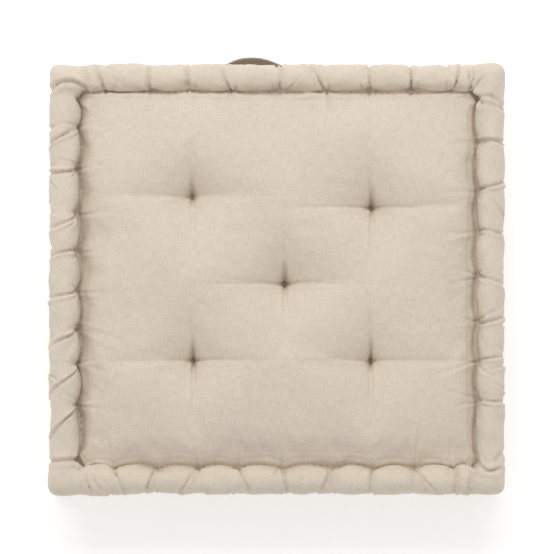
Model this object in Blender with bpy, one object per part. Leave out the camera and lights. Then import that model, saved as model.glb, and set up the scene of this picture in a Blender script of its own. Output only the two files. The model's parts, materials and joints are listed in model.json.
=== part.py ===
"""Square floor cushion with a stitched rolled edge round both faces, five tufts and a carrying handle.

Units are metres and +Z is up. The origin is on the floor, under the middle of the whole object.
+Y points to the side that carries the handle.
"""

import math

import bmesh
import bpy
from mathutils import Matrix, Vector

# Cushion, over everything but the handle
WIDTH = 0.450
DEPTH = 0.425
HEIGHT = 0.100

# Rolled edges: a tube of wadding along every side of both faces, wrapped in the cover
ROLL_DIAMETER = 0.030
UPPER_ROLL_DROP = 0.008  # top of the upper roll below the crown of the top panel
GROOVE_WIDTH = 0.001  # between the roll and the stitched line beside it
GROOVE_FALL = 0.0032  # stitched line beyond the roll's own middle height
CROWN_RUN = 0.055  # from the stitched line to where the panel is level
WALL_INSET = 0.012  # border between the rolls, in from the outline
ROLL_WRAP_DEG = 165.0  # how much of a roll its panel covers, from the outermost line
BORDER_WRAP_DEG = 55.0  # how much of a roll the border covers, from the outermost line
WALL_BEND = 0.004  # border's bend between a roll and the flat of the wall

# Cloth and clearances
CLOTH_THICKNESS = 0.0012
TOUCH_GAP = 0.0003
SEAM_GAP = 0.0012
WADDING_GAP = 0.0010
CORE_GAP = 0.0025

# Tufts: twine drawn through the filling, knotted outside both panels
TUFT_SPACING_X = 0.176
TUFT_SPACING_Y = 0.157
TUFT_MIDDLE = (0.005, -0.003)
TUFT_RADIUS = 0.055
TOP_TUFT_DEPTH = 0.030
BOTTOM_TUFT_DEPTH = 0.022
TWINE_DIAMETER = 0.0024
TWINE_CLEARANCE = 0.0005
KNOT_DIAMETER = 0.005
KNOT_STAND_OFF = 0.0042  # knot's centre from the bottom of its dimple
# Name: side of the middle in X and Y, and how far the hand-sewn tuft strays from there
TUFT_PLACES = {
    "centre": (0, 0, 0.0025, -0.002),
    "back_left": (-1, 1, -0.001, 0.006),
    "back_right": (1, 1, 0.0005, -0.005),
    "front_left": (-1, -1, 0.0, 0.0005),
    "front_right": (1, -1, 0.0, 0.0),
}

# Thread of the edge stitching, which lies in the groove beside each roll
EDGE_THREAD_DIAMETER = 0.0016
EDGE_THREAD_LIFT = 0.0021  # thread's centre from the bottom of the groove

# Handle: a flat strap sewn by both ends to the border at the back
HANDLE_MIDDLE_X = -0.020
HANDLE_FREE_LENGTH = 0.100
HANDLE_SEWN_LENGTH = 0.020
HANDLE_REACH = 0.0138
HANDLE_WIDTH = 0.020
HANDLE_THICKNESS = 0.0024
HANDLE_DROOP_DEG = 20.0  # how far the loop hangs below level at rest
HANDLE_STIFF_REACH = 0.008  # where the strap stands off this far, the free loop begins
HANDLE_SPLIT_GAP = 0.0006
BOX_STITCH_MARGIN = 0.003
BOX_STITCH_DIAMETER = 0.001

# Fineness of the mesh
PANEL_STEP = 0.024
ROLL_SEGMENTS = 6
BORDER_SEGMENTS = 2
CORNER_STEPS = 3
TWINE_SIDES = 8
WADDING_SIDES = 12
HANDLE_STEP = 0.006
SEAT_STEP = 5  # segments in a rounded knot or roll end

ROLL_RADIUS = ROLL_DIAMETER / 2
UPPER_ROLL_Z = HEIGHT - UPPER_ROLL_DROP - ROLL_RADIUS
LOWER_ROLL_Z = ROLL_RADIUS
WALL_MIDDLE_Z = (UPPER_ROLL_Z + LOWER_ROLL_Z) / 2
GROOVE_INSET = ROLL_DIAMETER + GROOVE_WIDTH


class Face:
    """One of the cushion's two faces: where its roll, groove, crown and tufts are."""

    def __init__(self, roll_z, outward, crown_z, tuft_depth):
        self.roll_z = roll_z
        self.outward = outward
        self.crown_z = crown_z
        self.groove_z = roll_z + outward * GROOVE_FALL
        self.tuft_z = crown_z - outward * tuft_depth

    def height(self, x, y):
        """Height of the cover's outer surface over a place in plan."""
        inset = min(WIDTH / 2 - abs(x), DEPTH / 2 - abs(y))
        if inset < GROOVE_INSET - GROOVE_WIDTH:
            reach = ROLL_RADIUS - inset
            return self.roll_z + self.outward * math.sqrt(max(ROLL_RADIUS**2 - reach**2, 0.0))
        run = min((inset - GROOVE_INSET) / CROWN_RUN, 1.0)
        z = self.groove_z + (self.crown_z - self.groove_z) * math.sin(run * math.pi / 2)
        for tuft_x, tuft_y in tuft_points().values():
            near = max(1 - math.hypot(x - tuft_x, y - tuft_y) / TUFT_RADIUS, 0.0)
            z += (self.tuft_z - self.crown_z) * near**2 * (3 - 2 * near)
        return z


UPPER_FACE = Face(UPPER_ROLL_Z, 1, HEIGHT, TOP_TUFT_DEPTH)
LOWER_FACE = Face(LOWER_ROLL_Z, -1, 0.0, BOTTOM_TUFT_DEPTH)


def tuft_points():
    """Name of each tuft and its place in plan."""
    return {
        name: (
            TUFT_MIDDLE[0] + side_x * TUFT_SPACING_X / 2 + stray_x,
            TUFT_MIDDLE[1] + side_y * TUFT_SPACING_Y / 2 + stray_y,
        )
        for name, (side_x, side_y, stray_x, stray_y) in TUFT_PLACES.items()
    }


def rounded(x, y):
    """Moves a place near a corner of the square outline onto the rounded one."""
    over_x = ROLL_RADIUS - (WIDTH / 2 - abs(x))
    over_y = ROLL_RADIUS - (DEPTH / 2 - abs(y))
    if over_x <= 0 or over_y <= 0:
        return x, y
    scale = max(over_x, over_y) / math.hypot(over_x, over_y)
    return (
        math.copysign(WIDTH / 2 - ROLL_RADIUS + over_x * scale, x),
        math.copysign(DEPTH / 2 - ROLL_RADIUS + over_y * scale, y),
    )


def roll_insets():
    """Insets of the panel's grid lines that lie over a roll, from its outermost line inwards."""
    angles = [math.radians(ROLL_WRAP_DEG) * k / ROLL_SEGMENTS for k in range(ROLL_SEGMENTS + 1)]
    return [ROLL_RADIUS * (1 - math.cos(angle)) for angle in angles]


def inner_lines(half):
    """Evenly spaced grid lines between the two stitched lines of a panel."""
    reach = half - GROOVE_INSET
    steps = round(2 * reach / PANEL_STEP)
    return [-reach + 2 * reach * k / steps for k in range(steps + 1)]


def panel_lines(half):
    """All grid lines across a panel, over the rolls and between them."""
    over_roll = [-half + inset for inset in roll_insets()]
    return over_roll + inner_lines(half) + [-line for line in reversed(over_roll)]


def grid_places(lines_x, lines_y):
    """Places in plan of a grid's points, with one point moved onto each tuft."""
    places = {(i, j): (x, y) for i, x in enumerate(lines_x) for j, y in enumerate(lines_y)}
    for tuft in tuft_points().values():
        nearest = min(places, key=lambda key: math.dist(places[key], tuft))
        places[nearest] = tuft
    return places


def fill_grid(bm, verts, columns, rows):
    """Faces between a grid's points, split along the diagonal that runs towards the nearest corner."""
    for i in range(columns - 1):
        for j in range(rows - 1):
            corners = [verts[i, j], verts[i + 1, j], verts[i + 1, j + 1], verts[i, j + 1]]
            if (i < columns // 2) != (j < rows // 2):
                corners = corners[1:] + corners[:1]
            bm.faces.new(corners[:3])
            bm.faces.new((corners[0], corners[2], corners[3]))


def new_object(name, data, material):
    obj = bpy.data.objects.new(name, data)
    bpy.context.scene.collection.objects.link(obj)
    if material:
        data.materials.append(material)
    return obj


def object_from(bm, name, material):
    """Turns a bmesh into a named object whose faces point outwards."""
    bmesh.ops.recalc_face_normals(bm, faces=bm.faces)
    mesh = bpy.data.meshes.new(name)
    bm.to_mesh(mesh)
    bm.free()
    return new_object(name, mesh, material)


def shade_round(obj, degrees=40.0):
    obj.data.shade_smooth()
    obj.data.set_sharp_from_angle(angle=math.radians(degrees))


def add_cloth_thickness(obj):
    """Gives a sheet its thickness on the side away from its normals."""
    solidify = obj.modifiers.new("cloth_thickness", "SOLIDIFY")
    solidify.thickness = CLOTH_THICKNESS
    solidify.offset = -1
    solidify.use_even_offset = True


def cut(obj, cutter):
    boolean = obj.modifiers.new("holes", "BOOLEAN")
    boolean.operation = "DIFFERENCE"
    boolean.solver = "EXACT"
    boolean.object = cutter


def loft(bm, rings, closed_rings=True):
    """Joins rings of points with quads. Open rings make a sheet."""
    rows = [[bm.verts.new(point) for point in ring] for ring in rings]
    count = len(rows[0])
    for first, second in zip(rows, rows[1:]):
        for k in range(count if closed_rings else count - 1):
            after = (k + 1) % count
            bm.faces.new((first[k], first[after], second[after], second[k]))
    return rows


def turned_solid(name, profile, sides, material):
    """A solid turned about its own X axis, from (along, radius) points. A radius of 0 closes an end."""
    bm = bmesh.new()
    outline = [bm.verts.new((along, 0, radius)) for along, radius in profile]
    edges = [bm.edges.new(pair) for pair in zip(outline, outline[1:])]
    bmesh.ops.spin(
        bm, geom=outline + edges, cent=(0, 0, 0), axis=(1, 0, 0), angle=2 * math.pi, steps=sides
    )
    bmesh.ops.remove_doubles(bm, verts=bm.verts, dist=TOUCH_GAP / 10)
    obj = object_from(bm, name, material)
    shade_round(obj)
    return obj


def ball_points(centre, radius, from_deg, to_deg):
    """Profile points of a ball on a turned piece's axis, from one end of the arc to the other."""
    angles = [math.radians(from_deg + (to_deg - from_deg) * k / SEAT_STEP) for k in range(SEAT_STEP + 1)]
    return [(centre - radius * math.cos(a), max(radius * math.sin(a), 0.0)) for a in angles]


def closed_thread(name, corners, diameter, material):
    """Thread that runs straight from corner to corner and closes on itself."""
    curve = bpy.data.curves.new(name, "CURVE")
    curve.dimensions = "3D"
    curve.bevel_depth = diameter / 2
    curve.bevel_resolution = 1
    curve.use_fill_caps = True
    spline = curve.splines.new("POLY")
    spline.points.add(len(corners) - 1)
    for point, corner in zip(spline.points, corners):
        point.co = (*corner, 1.0)
    spline.use_cyclic_u = True
    return new_object(name, curve, material)


def make_panel(name, face, material):
    """Square of cover cloth, from the seam on one side's roll to the seam on the other's."""
    lines_x = panel_lines(WIDTH / 2)
    lines_y = panel_lines(DEPTH / 2)
    places = grid_places(lines_x, lines_y)
    bm = bmesh.new()
    verts = {
        key: bm.verts.new((*rounded(x, y), face.height(x, y))) for key, (x, y) in places.items()
    }
    fill_grid(bm, verts, len(lines_x), len(lines_y))
    if face.outward < 0:
        bmesh.ops.reverse_faces(bm, faces=bm.faces)
    mesh = bpy.data.meshes.new(name)
    bm.to_mesh(mesh)
    bm.free()
    obj = new_object(name, mesh, material)
    shade_round(obj)
    add_cloth_thickness(obj)
    return obj


def border_profile():
    """(inset, height) points of the border, from the upper seam to the lower one."""
    angles = [math.radians(BORDER_WRAP_DEG) * k / BORDER_SEGMENTS for k in range(BORDER_SEGMENTS + 1)]
    insets = [ROLL_RADIUS * (1 - math.cos(angle)) for angle in angles]
    falls = [SEAM_GAP + ROLL_RADIUS * math.sin(angle) for angle in angles]
    wall_fall = falls[-1] + WALL_INSET - insets[-1] + WALL_BEND / 4
    upper = [(inset, UPPER_ROLL_Z - fall) for inset, fall in zip(insets, falls)]
    lower = [(inset, LOWER_ROLL_Z + fall) for inset, fall in zip(insets, falls)]
    wall = [(WALL_INSET, UPPER_ROLL_Z - wall_fall), (WALL_INSET, LOWER_ROLL_Z + wall_fall)]
    return upper + wall + lower[::-1]


def border_inset(rise):
    """Inset of the border's outer surface at a height above the middle of the wall."""
    profile = border_profile()
    upper = profile[: len(profile) // 2]
    for (outer, top), (inner, bottom) in zip(upper, upper[1:]):
        if WALL_MIDDLE_Z + rise >= bottom:
            share = (WALL_MIDDLE_Z + rise - bottom) / (top - bottom)
            return inner + share * (outer - inner)
    return WALL_INSET


def make_border(name, side, material):
    """Border strip along one side, from corner seam to corner seam, wrapped under both rolls."""
    quarter_turns = {"front": 0, "right": 1, "back": 2, "left": 3}[side]
    along, across = (WIDTH, DEPTH) if quarter_turns % 2 == 0 else (DEPTH, WIDTH)
    turn = Matrix.Rotation(math.radians(90 * quarter_turns), 3, "Z")
    rings = []
    for step in range(-CORNER_STEPS - 1, CORNER_STEPS + 2):
        if step == 0:
            continue
        share = (CORNER_STEPS + 1 - abs(step)) / CORNER_STEPS
        ring = []
        for inset, z in border_profile():
            end_inset = inset + SEAM_GAP + share * (ROLL_RADIUS - inset)
            flat = turn @ Vector((math.copysign(along / 2 - end_inset, step), inset - across / 2, 0))
            ring.append((*rounded(flat.x, flat.y), z))
        rings.append(ring)
    bm = bmesh.new()
    loft(bm, rings, closed_rings=False)
    outward = turn @ Vector((0, -1, 0))
    if sum((face.normal * face.calc_area() for face in bm.faces), Vector()).dot(outward) < 0:
        bmesh.ops.reverse_faces(bm, faces=bm.faces)
    mesh = bpy.data.meshes.new(name)
    bm.to_mesh(mesh)
    bm.free()
    obj = new_object(name, mesh, material)
    shade_round(obj)
    add_cloth_thickness(obj)
    return obj


def core_side_profile():
    """(inset, height) points down the side of the filling, round the inside of both rolls."""
    radius = ROLL_RADIUS + TOUCH_GAP
    angles = [math.radians(angle) for angle in (0, 30, 60, 85)]
    upper = [
        (ROLL_RADIUS + radius * math.cos(a), UPPER_ROLL_Z - radius * math.sin(a)) for a in angles
    ]
    lower = [(inset, LOWER_ROLL_Z + UPPER_ROLL_Z - z) for inset, z in reversed(upper)]
    wall_inset = WALL_INSET + CLOTH_THICKNESS + WADDING_GAP
    wall_drop = radius + WALL_BEND
    wall = [(wall_inset, UPPER_ROLL_Z - wall_drop), (wall_inset, LOWER_ROLL_Z + wall_drop)]
    return upper + wall + lower


def make_core(material):
    """Filling between the panels and the border."""
    lines_x = inner_lines(WIDTH / 2)
    lines_y = inner_lines(DEPTH / 2)
    places = grid_places(lines_x, lines_y)
    last_x, last_y = len(lines_x) - 1, len(lines_y) - 1
    shrink_x = 1 - 2 * CORE_GAP / (lines_x[-1] - lines_x[0])
    shrink_y = 1 - 2 * CORE_GAP / (lines_y[-1] - lines_y[0])
    rim = (
        [(i, 0) for i in range(last_x)]
        + [(last_x, j) for j in range(last_y)]
        + [(i, last_y) for i in range(last_x, 0, -1)]
        + [(0, j) for j in range(last_y, 0, -1)]
    )
    rim_set = set(rim)
    bm = bmesh.new()
    covers = []
    for face in (UPPER_FACE, LOWER_FACE):
        verts = {}
        for key, (x, y) in places.items():
            z = face.height(x, y) - face.outward * CORE_GAP
            at_rim = key in rim_set
            verts[key] = bm.verts.new((x * shrink_x if at_rim else x, y * shrink_y if at_rim else y, z))
        fill_grid(bm, verts, len(lines_x), len(lines_y))
        covers.append([verts[key] for key in rim])
    rings = [covers[0]]
    for inset, z in core_side_profile():
        scale_x = (WIDTH / 2 - inset) / lines_x[-1]
        scale_y = (DEPTH / 2 - inset) / lines_y[-1]
        ring = [rounded(places[key][0] * scale_x, places[key][1] * scale_y) for key in rim]
        rings.append([bm.verts.new((x, y, z)) for x, y in ring])
    rings.append(covers[1])
    for first, second in zip(rings, rings[1:]):
        for k in range(len(rim)):
            after = (k + 1) % len(rim)
            bm.faces.new((first[k], first[after], second[after], second[k]))
    obj = object_from(bm, "filling_core", material)
    shade_round(obj)
    return obj


def make_roll_wadding(level, roll_z, material):
    """Four lengths of wadding inside one face's roll. Those at the front and back have round ends."""
    radius = ROLL_RADIUS - CLOTH_THICKNESS - WADDING_GAP
    long_half = WIDTH / 2 - ROLL_RADIUS
    rounded_ends = ball_points(-long_half, radius, 0, 90) + ball_points(long_half, radius, 90, 180)
    short_half = DEPTH / 2 - ROLL_RADIUS - radius - WADDING_GAP
    flat_ends = [(-short_half, 0), (-short_half, radius), (short_half, radius), (short_half, 0)]
    lengths = []
    for side, turn_deg, profile in (
        ("front", 0, rounded_ends),
        ("right", 90, flat_ends),
        ("back", 180, rounded_ends),
        ("left", 270, flat_ends),
    ):
        roll = turned_solid(f"{level}_roll_wadding_{side}", profile, WADDING_SIDES, material)
        reach = (WIDTH if side in ("right", "left") else DEPTH) / 2 - ROLL_RADIUS
        turn = math.radians(turn_deg)
        roll.rotation_euler.z = turn
        roll.location = (reach * math.sin(turn), -reach * math.cos(turn), roll_z)
        lengths.append(roll)
    return lengths


def make_edge_thread(level, face, material):
    """Stitching thread along the groove beside a face's roll."""
    z = face.groove_z + face.outward * EDGE_THREAD_LIFT
    x = WIDTH / 2 - GROOVE_INSET
    y = DEPTH / 2 - GROOVE_INSET
    corners = [(-x, -y, z), (x, -y, z), (x, y, z), (-x, y, z)]
    return closed_thread(f"{level}_edge_thread", corners, EDGE_THREAD_DIAMETER, material)


def make_tuft_tie(name, place, material):
    """Twine from one face's dimple to the other's, with a knot outside each panel."""
    low = LOWER_FACE.tuft_z - KNOT_STAND_OFF
    high = UPPER_FACE.tuft_z + KNOT_STAND_OFF
    knot = KNOT_DIAMETER / 2
    twine_meets = 180 - math.degrees(math.asin(TWINE_DIAMETER / KNOT_DIAMETER))
    profile = ball_points(0, knot, 0, twine_meets) + ball_points(
        high - low, knot, 180 - twine_meets, 180
    )
    tie = turned_solid(f"tuft_tie_{name}", profile, TWINE_SIDES, material)
    tie.rotation_euler.y = math.radians(-90)
    tie.location = (*place, low)
    return tie


def make_twine_cutter():
    """Rods that open the twine's way through the panels and the filling."""
    bm = bmesh.new()
    for place in tuft_points().values():
        bmesh.ops.create_cone(
            bm,
            cap_ends=True,
            segments=TWINE_SIDES,
            radius1=TWINE_DIAMETER / 2 + TWINE_CLEARANCE,
            radius2=TWINE_DIAMETER / 2 + TWINE_CLEARANCE,
            depth=HEIGHT,
            matrix=Matrix.Translation((*place, HEIGHT / 2)),
        )
    cutter = object_from(bm, "twine_ways", None)
    cutter.hide_render = True
    cutter.display_type = "WIRE"
    return cutter


def handle_axis_y():
    """Depth at which the strap's sewn ends lie, with both edges clear of the border."""
    return DEPTH / 2 - border_inset(HANDLE_WIDTH / 2) + TOUCH_GAP + HANDLE_THICKNESS / 2


def handle_section(x):
    """Outline of the strap at a distance x from the handle's middle, hanging at rest."""
    swing = math.pi * min(abs(x) / HANDLE_FREE_LENGTH, 0.5)
    reach = HANDLE_REACH * math.cos(swing) ** 2
    slope = HANDLE_REACH * math.sin(2 * swing) * math.pi / HANDLE_FREE_LENGTH
    droop = math.radians(HANDLE_DROOP_DEG) * min(reach / HANDLE_STIFF_REACH, 1.0)
    half_width = HANDLE_WIDTH / 2
    half_thick = HANDLE_THICKNESS / 2 * math.hypot(1, slope)
    edge = half_width - HANDLE_THICKNESS / 3
    corner = half_thick / 3
    points = []
    for out, up in (
        (half_thick, -edge),
        (half_thick, edge),
        (corner, half_width),
        (-corner, half_width),
        (-half_thick, edge),
        (-half_thick, -edge),
        (-corner, -half_width),
        (corner, -half_width),
    ):
        y = (reach + out) * math.cos(droop) + up * math.sin(droop)
        z = up * math.cos(droop) - (reach + out) * math.sin(droop)
        points.append((HANDLE_MIDDLE_X + x, handle_axis_y() + y, WALL_MIDDLE_Z + z))
    return points


def loop_half_length():
    """Distance from the handle's middle to where its free loop begins."""
    return HANDLE_FREE_LENGTH / math.pi * math.acos(math.sqrt(HANDLE_STIFF_REACH / HANDLE_REACH))


def make_strap(name, start, end, material):
    """Part of the handle's strap between two distances from its middle."""
    steps = math.ceil((end - start) / HANDLE_STEP)
    stations = [start + (end - start) * k / steps for k in range(steps + 1)]
    bm = bmesh.new()
    rows = loft(bm, [handle_section(x) for x in stations])
    bm.faces.new(rows[0])
    bm.faces.new(rows[-1])
    obj = object_from(bm, name, material)
    shade_round(obj)
    return obj


def make_handle(strap_material, thread_material):
    """Free loop, its two sewn ends and the stitching that holds them."""
    free = loop_half_length()
    sewn_from = HANDLE_FREE_LENGTH / 2
    sewn_to = sewn_from + HANDLE_SEWN_LENGTH
    y = handle_axis_y() + HANDLE_THICKNESS / 2 + TOUCH_GAP + BOX_STITCH_DIAMETER / 2
    half_height = HANDLE_WIDTH / 2 - BOX_STITCH_MARGIN
    pieces = [make_strap("handle_loop", -free, free, strap_material)]
    for side, sign in (("left", -1), ("right", 1)):
        ends = sorted((sign * (free + HANDLE_SPLIT_GAP), sign * sewn_to))
        pieces.append(make_strap(f"handle_end_{side}", *ends, strap_material))
        near = HANDLE_MIDDLE_X + sign * (sewn_from + BOX_STITCH_MARGIN)
        far = HANDLE_MIDDLE_X + sign * (sewn_to - BOX_STITCH_MARGIN)
        low, high = WALL_MIDDLE_Z - half_height, WALL_MIDDLE_Z + half_height
        corners = [(near, y, low), (far, y, low), (far, y, high), (near, y, high)]
        pieces.append(
            closed_thread(f"handle_box_stitch_{side}", corners, BOX_STITCH_DIAMETER, thread_material)
        )
    return pieces


def make_material(name, colour, roughness):
    material = bpy.data.materials.new(name)
    material.use_nodes = True
    shader = material.node_tree.nodes["Principled BSDF"]
    shader.inputs["Base Color"].default_value = (*colour, 1.0)
    shader.inputs["Roughness"].default_value = roughness
    shader.inputs["Metallic"].default_value = 0.0
    return material


def main():
    for obj in list(bpy.data.objects):
        bpy.data.objects.remove(obj)

    cover = make_material("cover_cotton", (0.66, 0.57, 0.47), 0.9)
    strap = make_material("handle_cotton", (0.52, 0.44, 0.36), 0.9)
    filling = make_material("filling_fibre", (0.85, 0.83, 0.78), 1.0)
    thread = make_material("stitching_thread", (0.60, 0.52, 0.42), 0.8)

    top_panel = make_panel("top_panel", UPPER_FACE, cover)
    bottom_panel = make_panel("bottom_panel", LOWER_FACE, cover)
    core = make_core(filling)
    cutter = make_twine_cutter()
    for pierced in (top_panel, bottom_panel, core):
        cut(pierced, cutter)

    pieces = [top_panel, bottom_panel, core, cutter]
    for side in ("front", "right", "back", "left"):
        pieces.append(make_border(f"border_{side}", side, cover))
    pieces += make_roll_wadding("upper", UPPER_ROLL_Z, filling)
    pieces += make_roll_wadding("lower", LOWER_ROLL_Z, filling)
    pieces.append(make_edge_thread("upper", UPPER_FACE, thread))
    pieces.append(make_edge_thread("lower", LOWER_FACE, thread))
    for name, place in tuft_points().items():
        pieces.append(make_tuft_tie(name, place, thread))
    pieces += make_handle(strap, thread)

    # The handle stands out past the roll at the back only, so the cushion sits forward of the origin
    handle_overhang = max(max(y for _, y, _ in handle_section(0)) - DEPTH / 2, 0.0)
    frame = new_object("cushion_frame", None, None)
    frame.location.y = -handle_overhang / 2
    for piece in pieces:
        piece.parent = frame


main()
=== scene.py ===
"""Looks of a square tufted floor cushion: stuffed cover, edge gathers, tufts, stitching and handle."""

import json
import math

import bpy
import numpy as np
from bpy.props import FloatProperty, FloatVectorProperty, PointerProperty
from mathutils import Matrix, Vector


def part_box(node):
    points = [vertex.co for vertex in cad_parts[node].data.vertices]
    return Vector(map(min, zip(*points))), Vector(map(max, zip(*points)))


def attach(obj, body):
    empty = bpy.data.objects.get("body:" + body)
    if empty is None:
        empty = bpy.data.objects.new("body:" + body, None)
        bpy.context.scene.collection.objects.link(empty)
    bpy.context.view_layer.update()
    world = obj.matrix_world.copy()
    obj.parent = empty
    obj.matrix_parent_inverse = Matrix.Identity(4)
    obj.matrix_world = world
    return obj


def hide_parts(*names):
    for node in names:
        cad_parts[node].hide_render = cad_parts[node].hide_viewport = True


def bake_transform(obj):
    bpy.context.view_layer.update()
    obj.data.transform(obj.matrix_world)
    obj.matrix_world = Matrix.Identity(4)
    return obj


bl_info = {
    "name": "Tufted Floor Cushion",
    "version": (1, 0, 0),
    "blender": (4, 5, 0),
    "location": "3D Viewport > Sidebar > Cushion",
    "description": "Builds the cover, stitching, tufts and handle of a floor cushion around its frame",
    "category": "Object",
}

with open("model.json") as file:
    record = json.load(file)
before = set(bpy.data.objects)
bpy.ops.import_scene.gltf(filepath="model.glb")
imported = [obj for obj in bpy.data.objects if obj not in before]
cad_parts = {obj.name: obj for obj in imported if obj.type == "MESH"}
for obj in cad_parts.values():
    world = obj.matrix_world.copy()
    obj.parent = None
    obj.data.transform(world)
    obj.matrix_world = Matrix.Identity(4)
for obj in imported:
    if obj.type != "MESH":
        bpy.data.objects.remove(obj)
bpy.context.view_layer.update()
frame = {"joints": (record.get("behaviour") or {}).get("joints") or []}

MM = 0.001


# Places and sizes that follow from the frame


def middle(node):
    """Centre of a frame piece's box."""
    low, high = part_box(node)
    return (low + high) / 2


PANEL_LOW, PANEL_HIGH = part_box("top_panel")
THREAD_LOW, THREAD_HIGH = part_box("upper_edge_thread")
CENTRE_Y = (PANEL_LOW.y + PANEL_HIGH.y) / 2
HALF_X = (PANEL_HIGH.x - PANEL_LOW.x) / 2
HALF_Y = (PANEL_HIGH.y - PANEL_LOW.y) / 2
CROWN_Z = PANEL_HIGH.z
THREAD_THICKNESS = THREAD_HIGH.z - THREAD_LOW.z
GROOVE_INSET = PANEL_HIGH.x - THREAD_HIGH.x + THREAD_THICKNESS / 2
GROOVE_X = HALF_X - GROOVE_INSET
GROOVE_Y = HALF_Y - GROOVE_INSET
ROLL_RADIUS = middle("upper_roll_wadding_front").y - PANEL_LOW.y
UPPER_ROLL_Z = middle("upper_roll_wadding_front").z
LOWER_ROLL_Z = middle("lower_roll_wadding_front").z
WALL_Z = (UPPER_ROLL_Z + LOWER_ROLL_Z) / 2
STRAP_LOW, STRAP_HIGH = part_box("handle_end_left")[0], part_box("handle_end_right")[1]
HINGE = Vector(frame["joints"][0]["pos_m"])
WALL_INSET = PANEL_HIGH.y - STRAP_LOW.y + 0.3 * MM
TUFTS = {
    name: middle(f"tuft_tie_{name}")
    for name in ("centre", "back_left", "back_right", "front_left", "front_right")
}

# Gathers of the edge stitching along each side, in mm from the side's middle
GATHERS = {
    "front": (-161, -118, -78, -39, 6, 56, 96, 136, 174),
    "right": (-120, -82, -43, 4, 46, 88, 135),
    "back": (-169, -124, -86, -45, 2, 47, 92, 133, 172),
    "left": (-124, -85, -49, -11, 28, 66, 109, 150),
}
SIDES = ("front", "right", "back", "left")
CORNER_RUN = 0.020  # length along the edge that a corner's quarter turn stands for, per radian

# How far each side's roll swells over the panel between two gathers, how far the stitching draws its
# groove back towards the outline, how far the filling lifts that groove, and how wide it gapes
SCALLOPS = {"front": 5.6 * MM, "right": 3.6 * MM, "back": 2.2 * MM, "left": 5.2 * MM}
DRAWN_BACK = {"front": 4.0 * MM, "right": 3.0 * MM, "back": 4.0 * MM, "left": 1.8 * MM}
GROOVE_LIFTS = {"front": 2.0 * MM, "right": -2.0 * MM, "back": 4.8 * MM, "left": -6.0 * MM}
GROOVE_GAPES = {"front": 5.5 * MM, "right": 2.6 * MM, "back": 2.0 * MM, "left": 5.0 * MM}

# Folds where the rolls meet at each corner: points in mm in from the side edge and in from the front
# or back edge, then the fold's depth and width in mm
CORNER_FOLDS = {
    "back_left": (
        (((0, 26), (10, 19), (21, 18), (30, 22), (36, 29)), 3.6, 1.7),
        (((36, 1), (37, 14), (36, 27)), 1.9, 1.2),
    ),
    "back_right": (
        (((36, 9), (35, 19), (33, 28)), 2.4, 1.2),
        (((29, 1), (31, 14), (33, 27)), 1.9, 1.2),
        (((22, 14), (27, 21), (30, 27)), 1.5, 1.1),
        (((60, 1), (53, 11), (44, 27)), 1.3, 1.4),
        (((26, 33), (13, 33), (0, 42)), 2.2, 1.2),
        (((26, 39), (12, 41), (0, 46)), 1.9, 1.3),
        (((35, 27), (30, 33), (25, 40)), 2.6, 1.8),
    ),
    "front_left": (
        (((0, 32), (16, 33), (33, 34)), 3.0, 1.6),
        (((36, 20), (38, 11), (42, 4)), 1.9, 1.2),
        (((43, 19), (46, 12), (52, 5)), 1.5, 1.3),
        (((35, 31), (31, 27), (25, 25)), 1.2, 1.4),
    ),
    "front_right": (
        (((31, 31), (17, 23), (5, 25)), 3.4, 1.5),
        (((33, 21), (34, 12), (36, 4)), 2.3, 1.2),
        (((29, 22), (31, 11), (34, 1)), 1.6, 1.1),
        (((0, 41), (4, 38), (9, 33)), 1.8, 2.0),
    ),
}


def side_half(side):
    """Half the straight length of a side's groove."""
    return GROOVE_X if side in ("front", "back") else GROOVE_Y


def side_start(side):
    """Edge length at which a side's straight stretch begins, going anticlockwise from the front left."""
    start = 0.0
    for name in SIDES:
        if name == side:
            return start
        start += 2 * side_half(name) + CORNER_RUN * math.pi / 2
    return start


EDGE_LENGTH = side_start(None)


def gather_place(side, along):
    """Edge length of a place on a side, given in mm from the side's middle, to the right or to the back."""
    sign = 1 if side in ("front", "right") else -1
    return side_start(side) + side_half(side) + sign * along * MM


def gather_places():
    """Edge lengths of all the gathers, the corners' among them, in order."""
    places = []
    for side in SIDES:
        places += [gather_place(side, along) for along in GATHERS[side]]
        corner = side_start(side) + 2 * side_half(side)
        places += [corner, corner + CORNER_RUN * math.pi / 2]
    return np.sort(np.array(places) % EDGE_LENGTH)


def edge_length_at(x, y):
    """Edge length of places in plan: along the nearest side, or by angle round a corner of the groove."""
    y = y - CENTRE_Y
    over_x, over_y = np.abs(x) - GROOVE_X, np.abs(y) - GROOVE_Y
    turn = CORNER_RUN * math.pi / 2
    near_y = over_y > over_x
    starts = {side: side_start(side) for side in SIDES}
    s = np.where(
        near_y,
        np.where(y < 0, starts["front"] + x + GROOVE_X, starts["back"] + GROOVE_X - x),
        np.where(x > 0, starts["right"] + y + GROOVE_Y, starts["left"] + GROOVE_Y - y),
    )
    corner = (over_x > 0) & (over_y > 0)
    angle = np.arctan2(np.maximum(over_x, 0), np.maximum(over_y, 1e-9))  # 0 beside front or back
    for east, north, start, from_long in (
        (1, -1, starts["right"] - turn, True),
        (1, 1, starts["back"] - turn, False),
        (-1, 1, starts["left"] - turn, True),
        (-1, -1, EDGE_LENGTH - turn, False),
    ):
        here = corner & (x * east > 0) & (y * north > 0)
        swing = angle if from_long else math.pi / 2 - angle
        s = np.where(here, start + CORNER_RUN * swing, s)
    return s % EDGE_LENGTH


def smooth(value):
    """Eased step from 0 to 1."""
    value = np.clip(value, 0.0, 1.0)
    return value * value * (3 - 2 * value)


def bump(distance, width):
    """Soft bump: 1 where the distance is nought, fading away over a width."""
    return np.exp(-((distance / width) ** 2))


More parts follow.
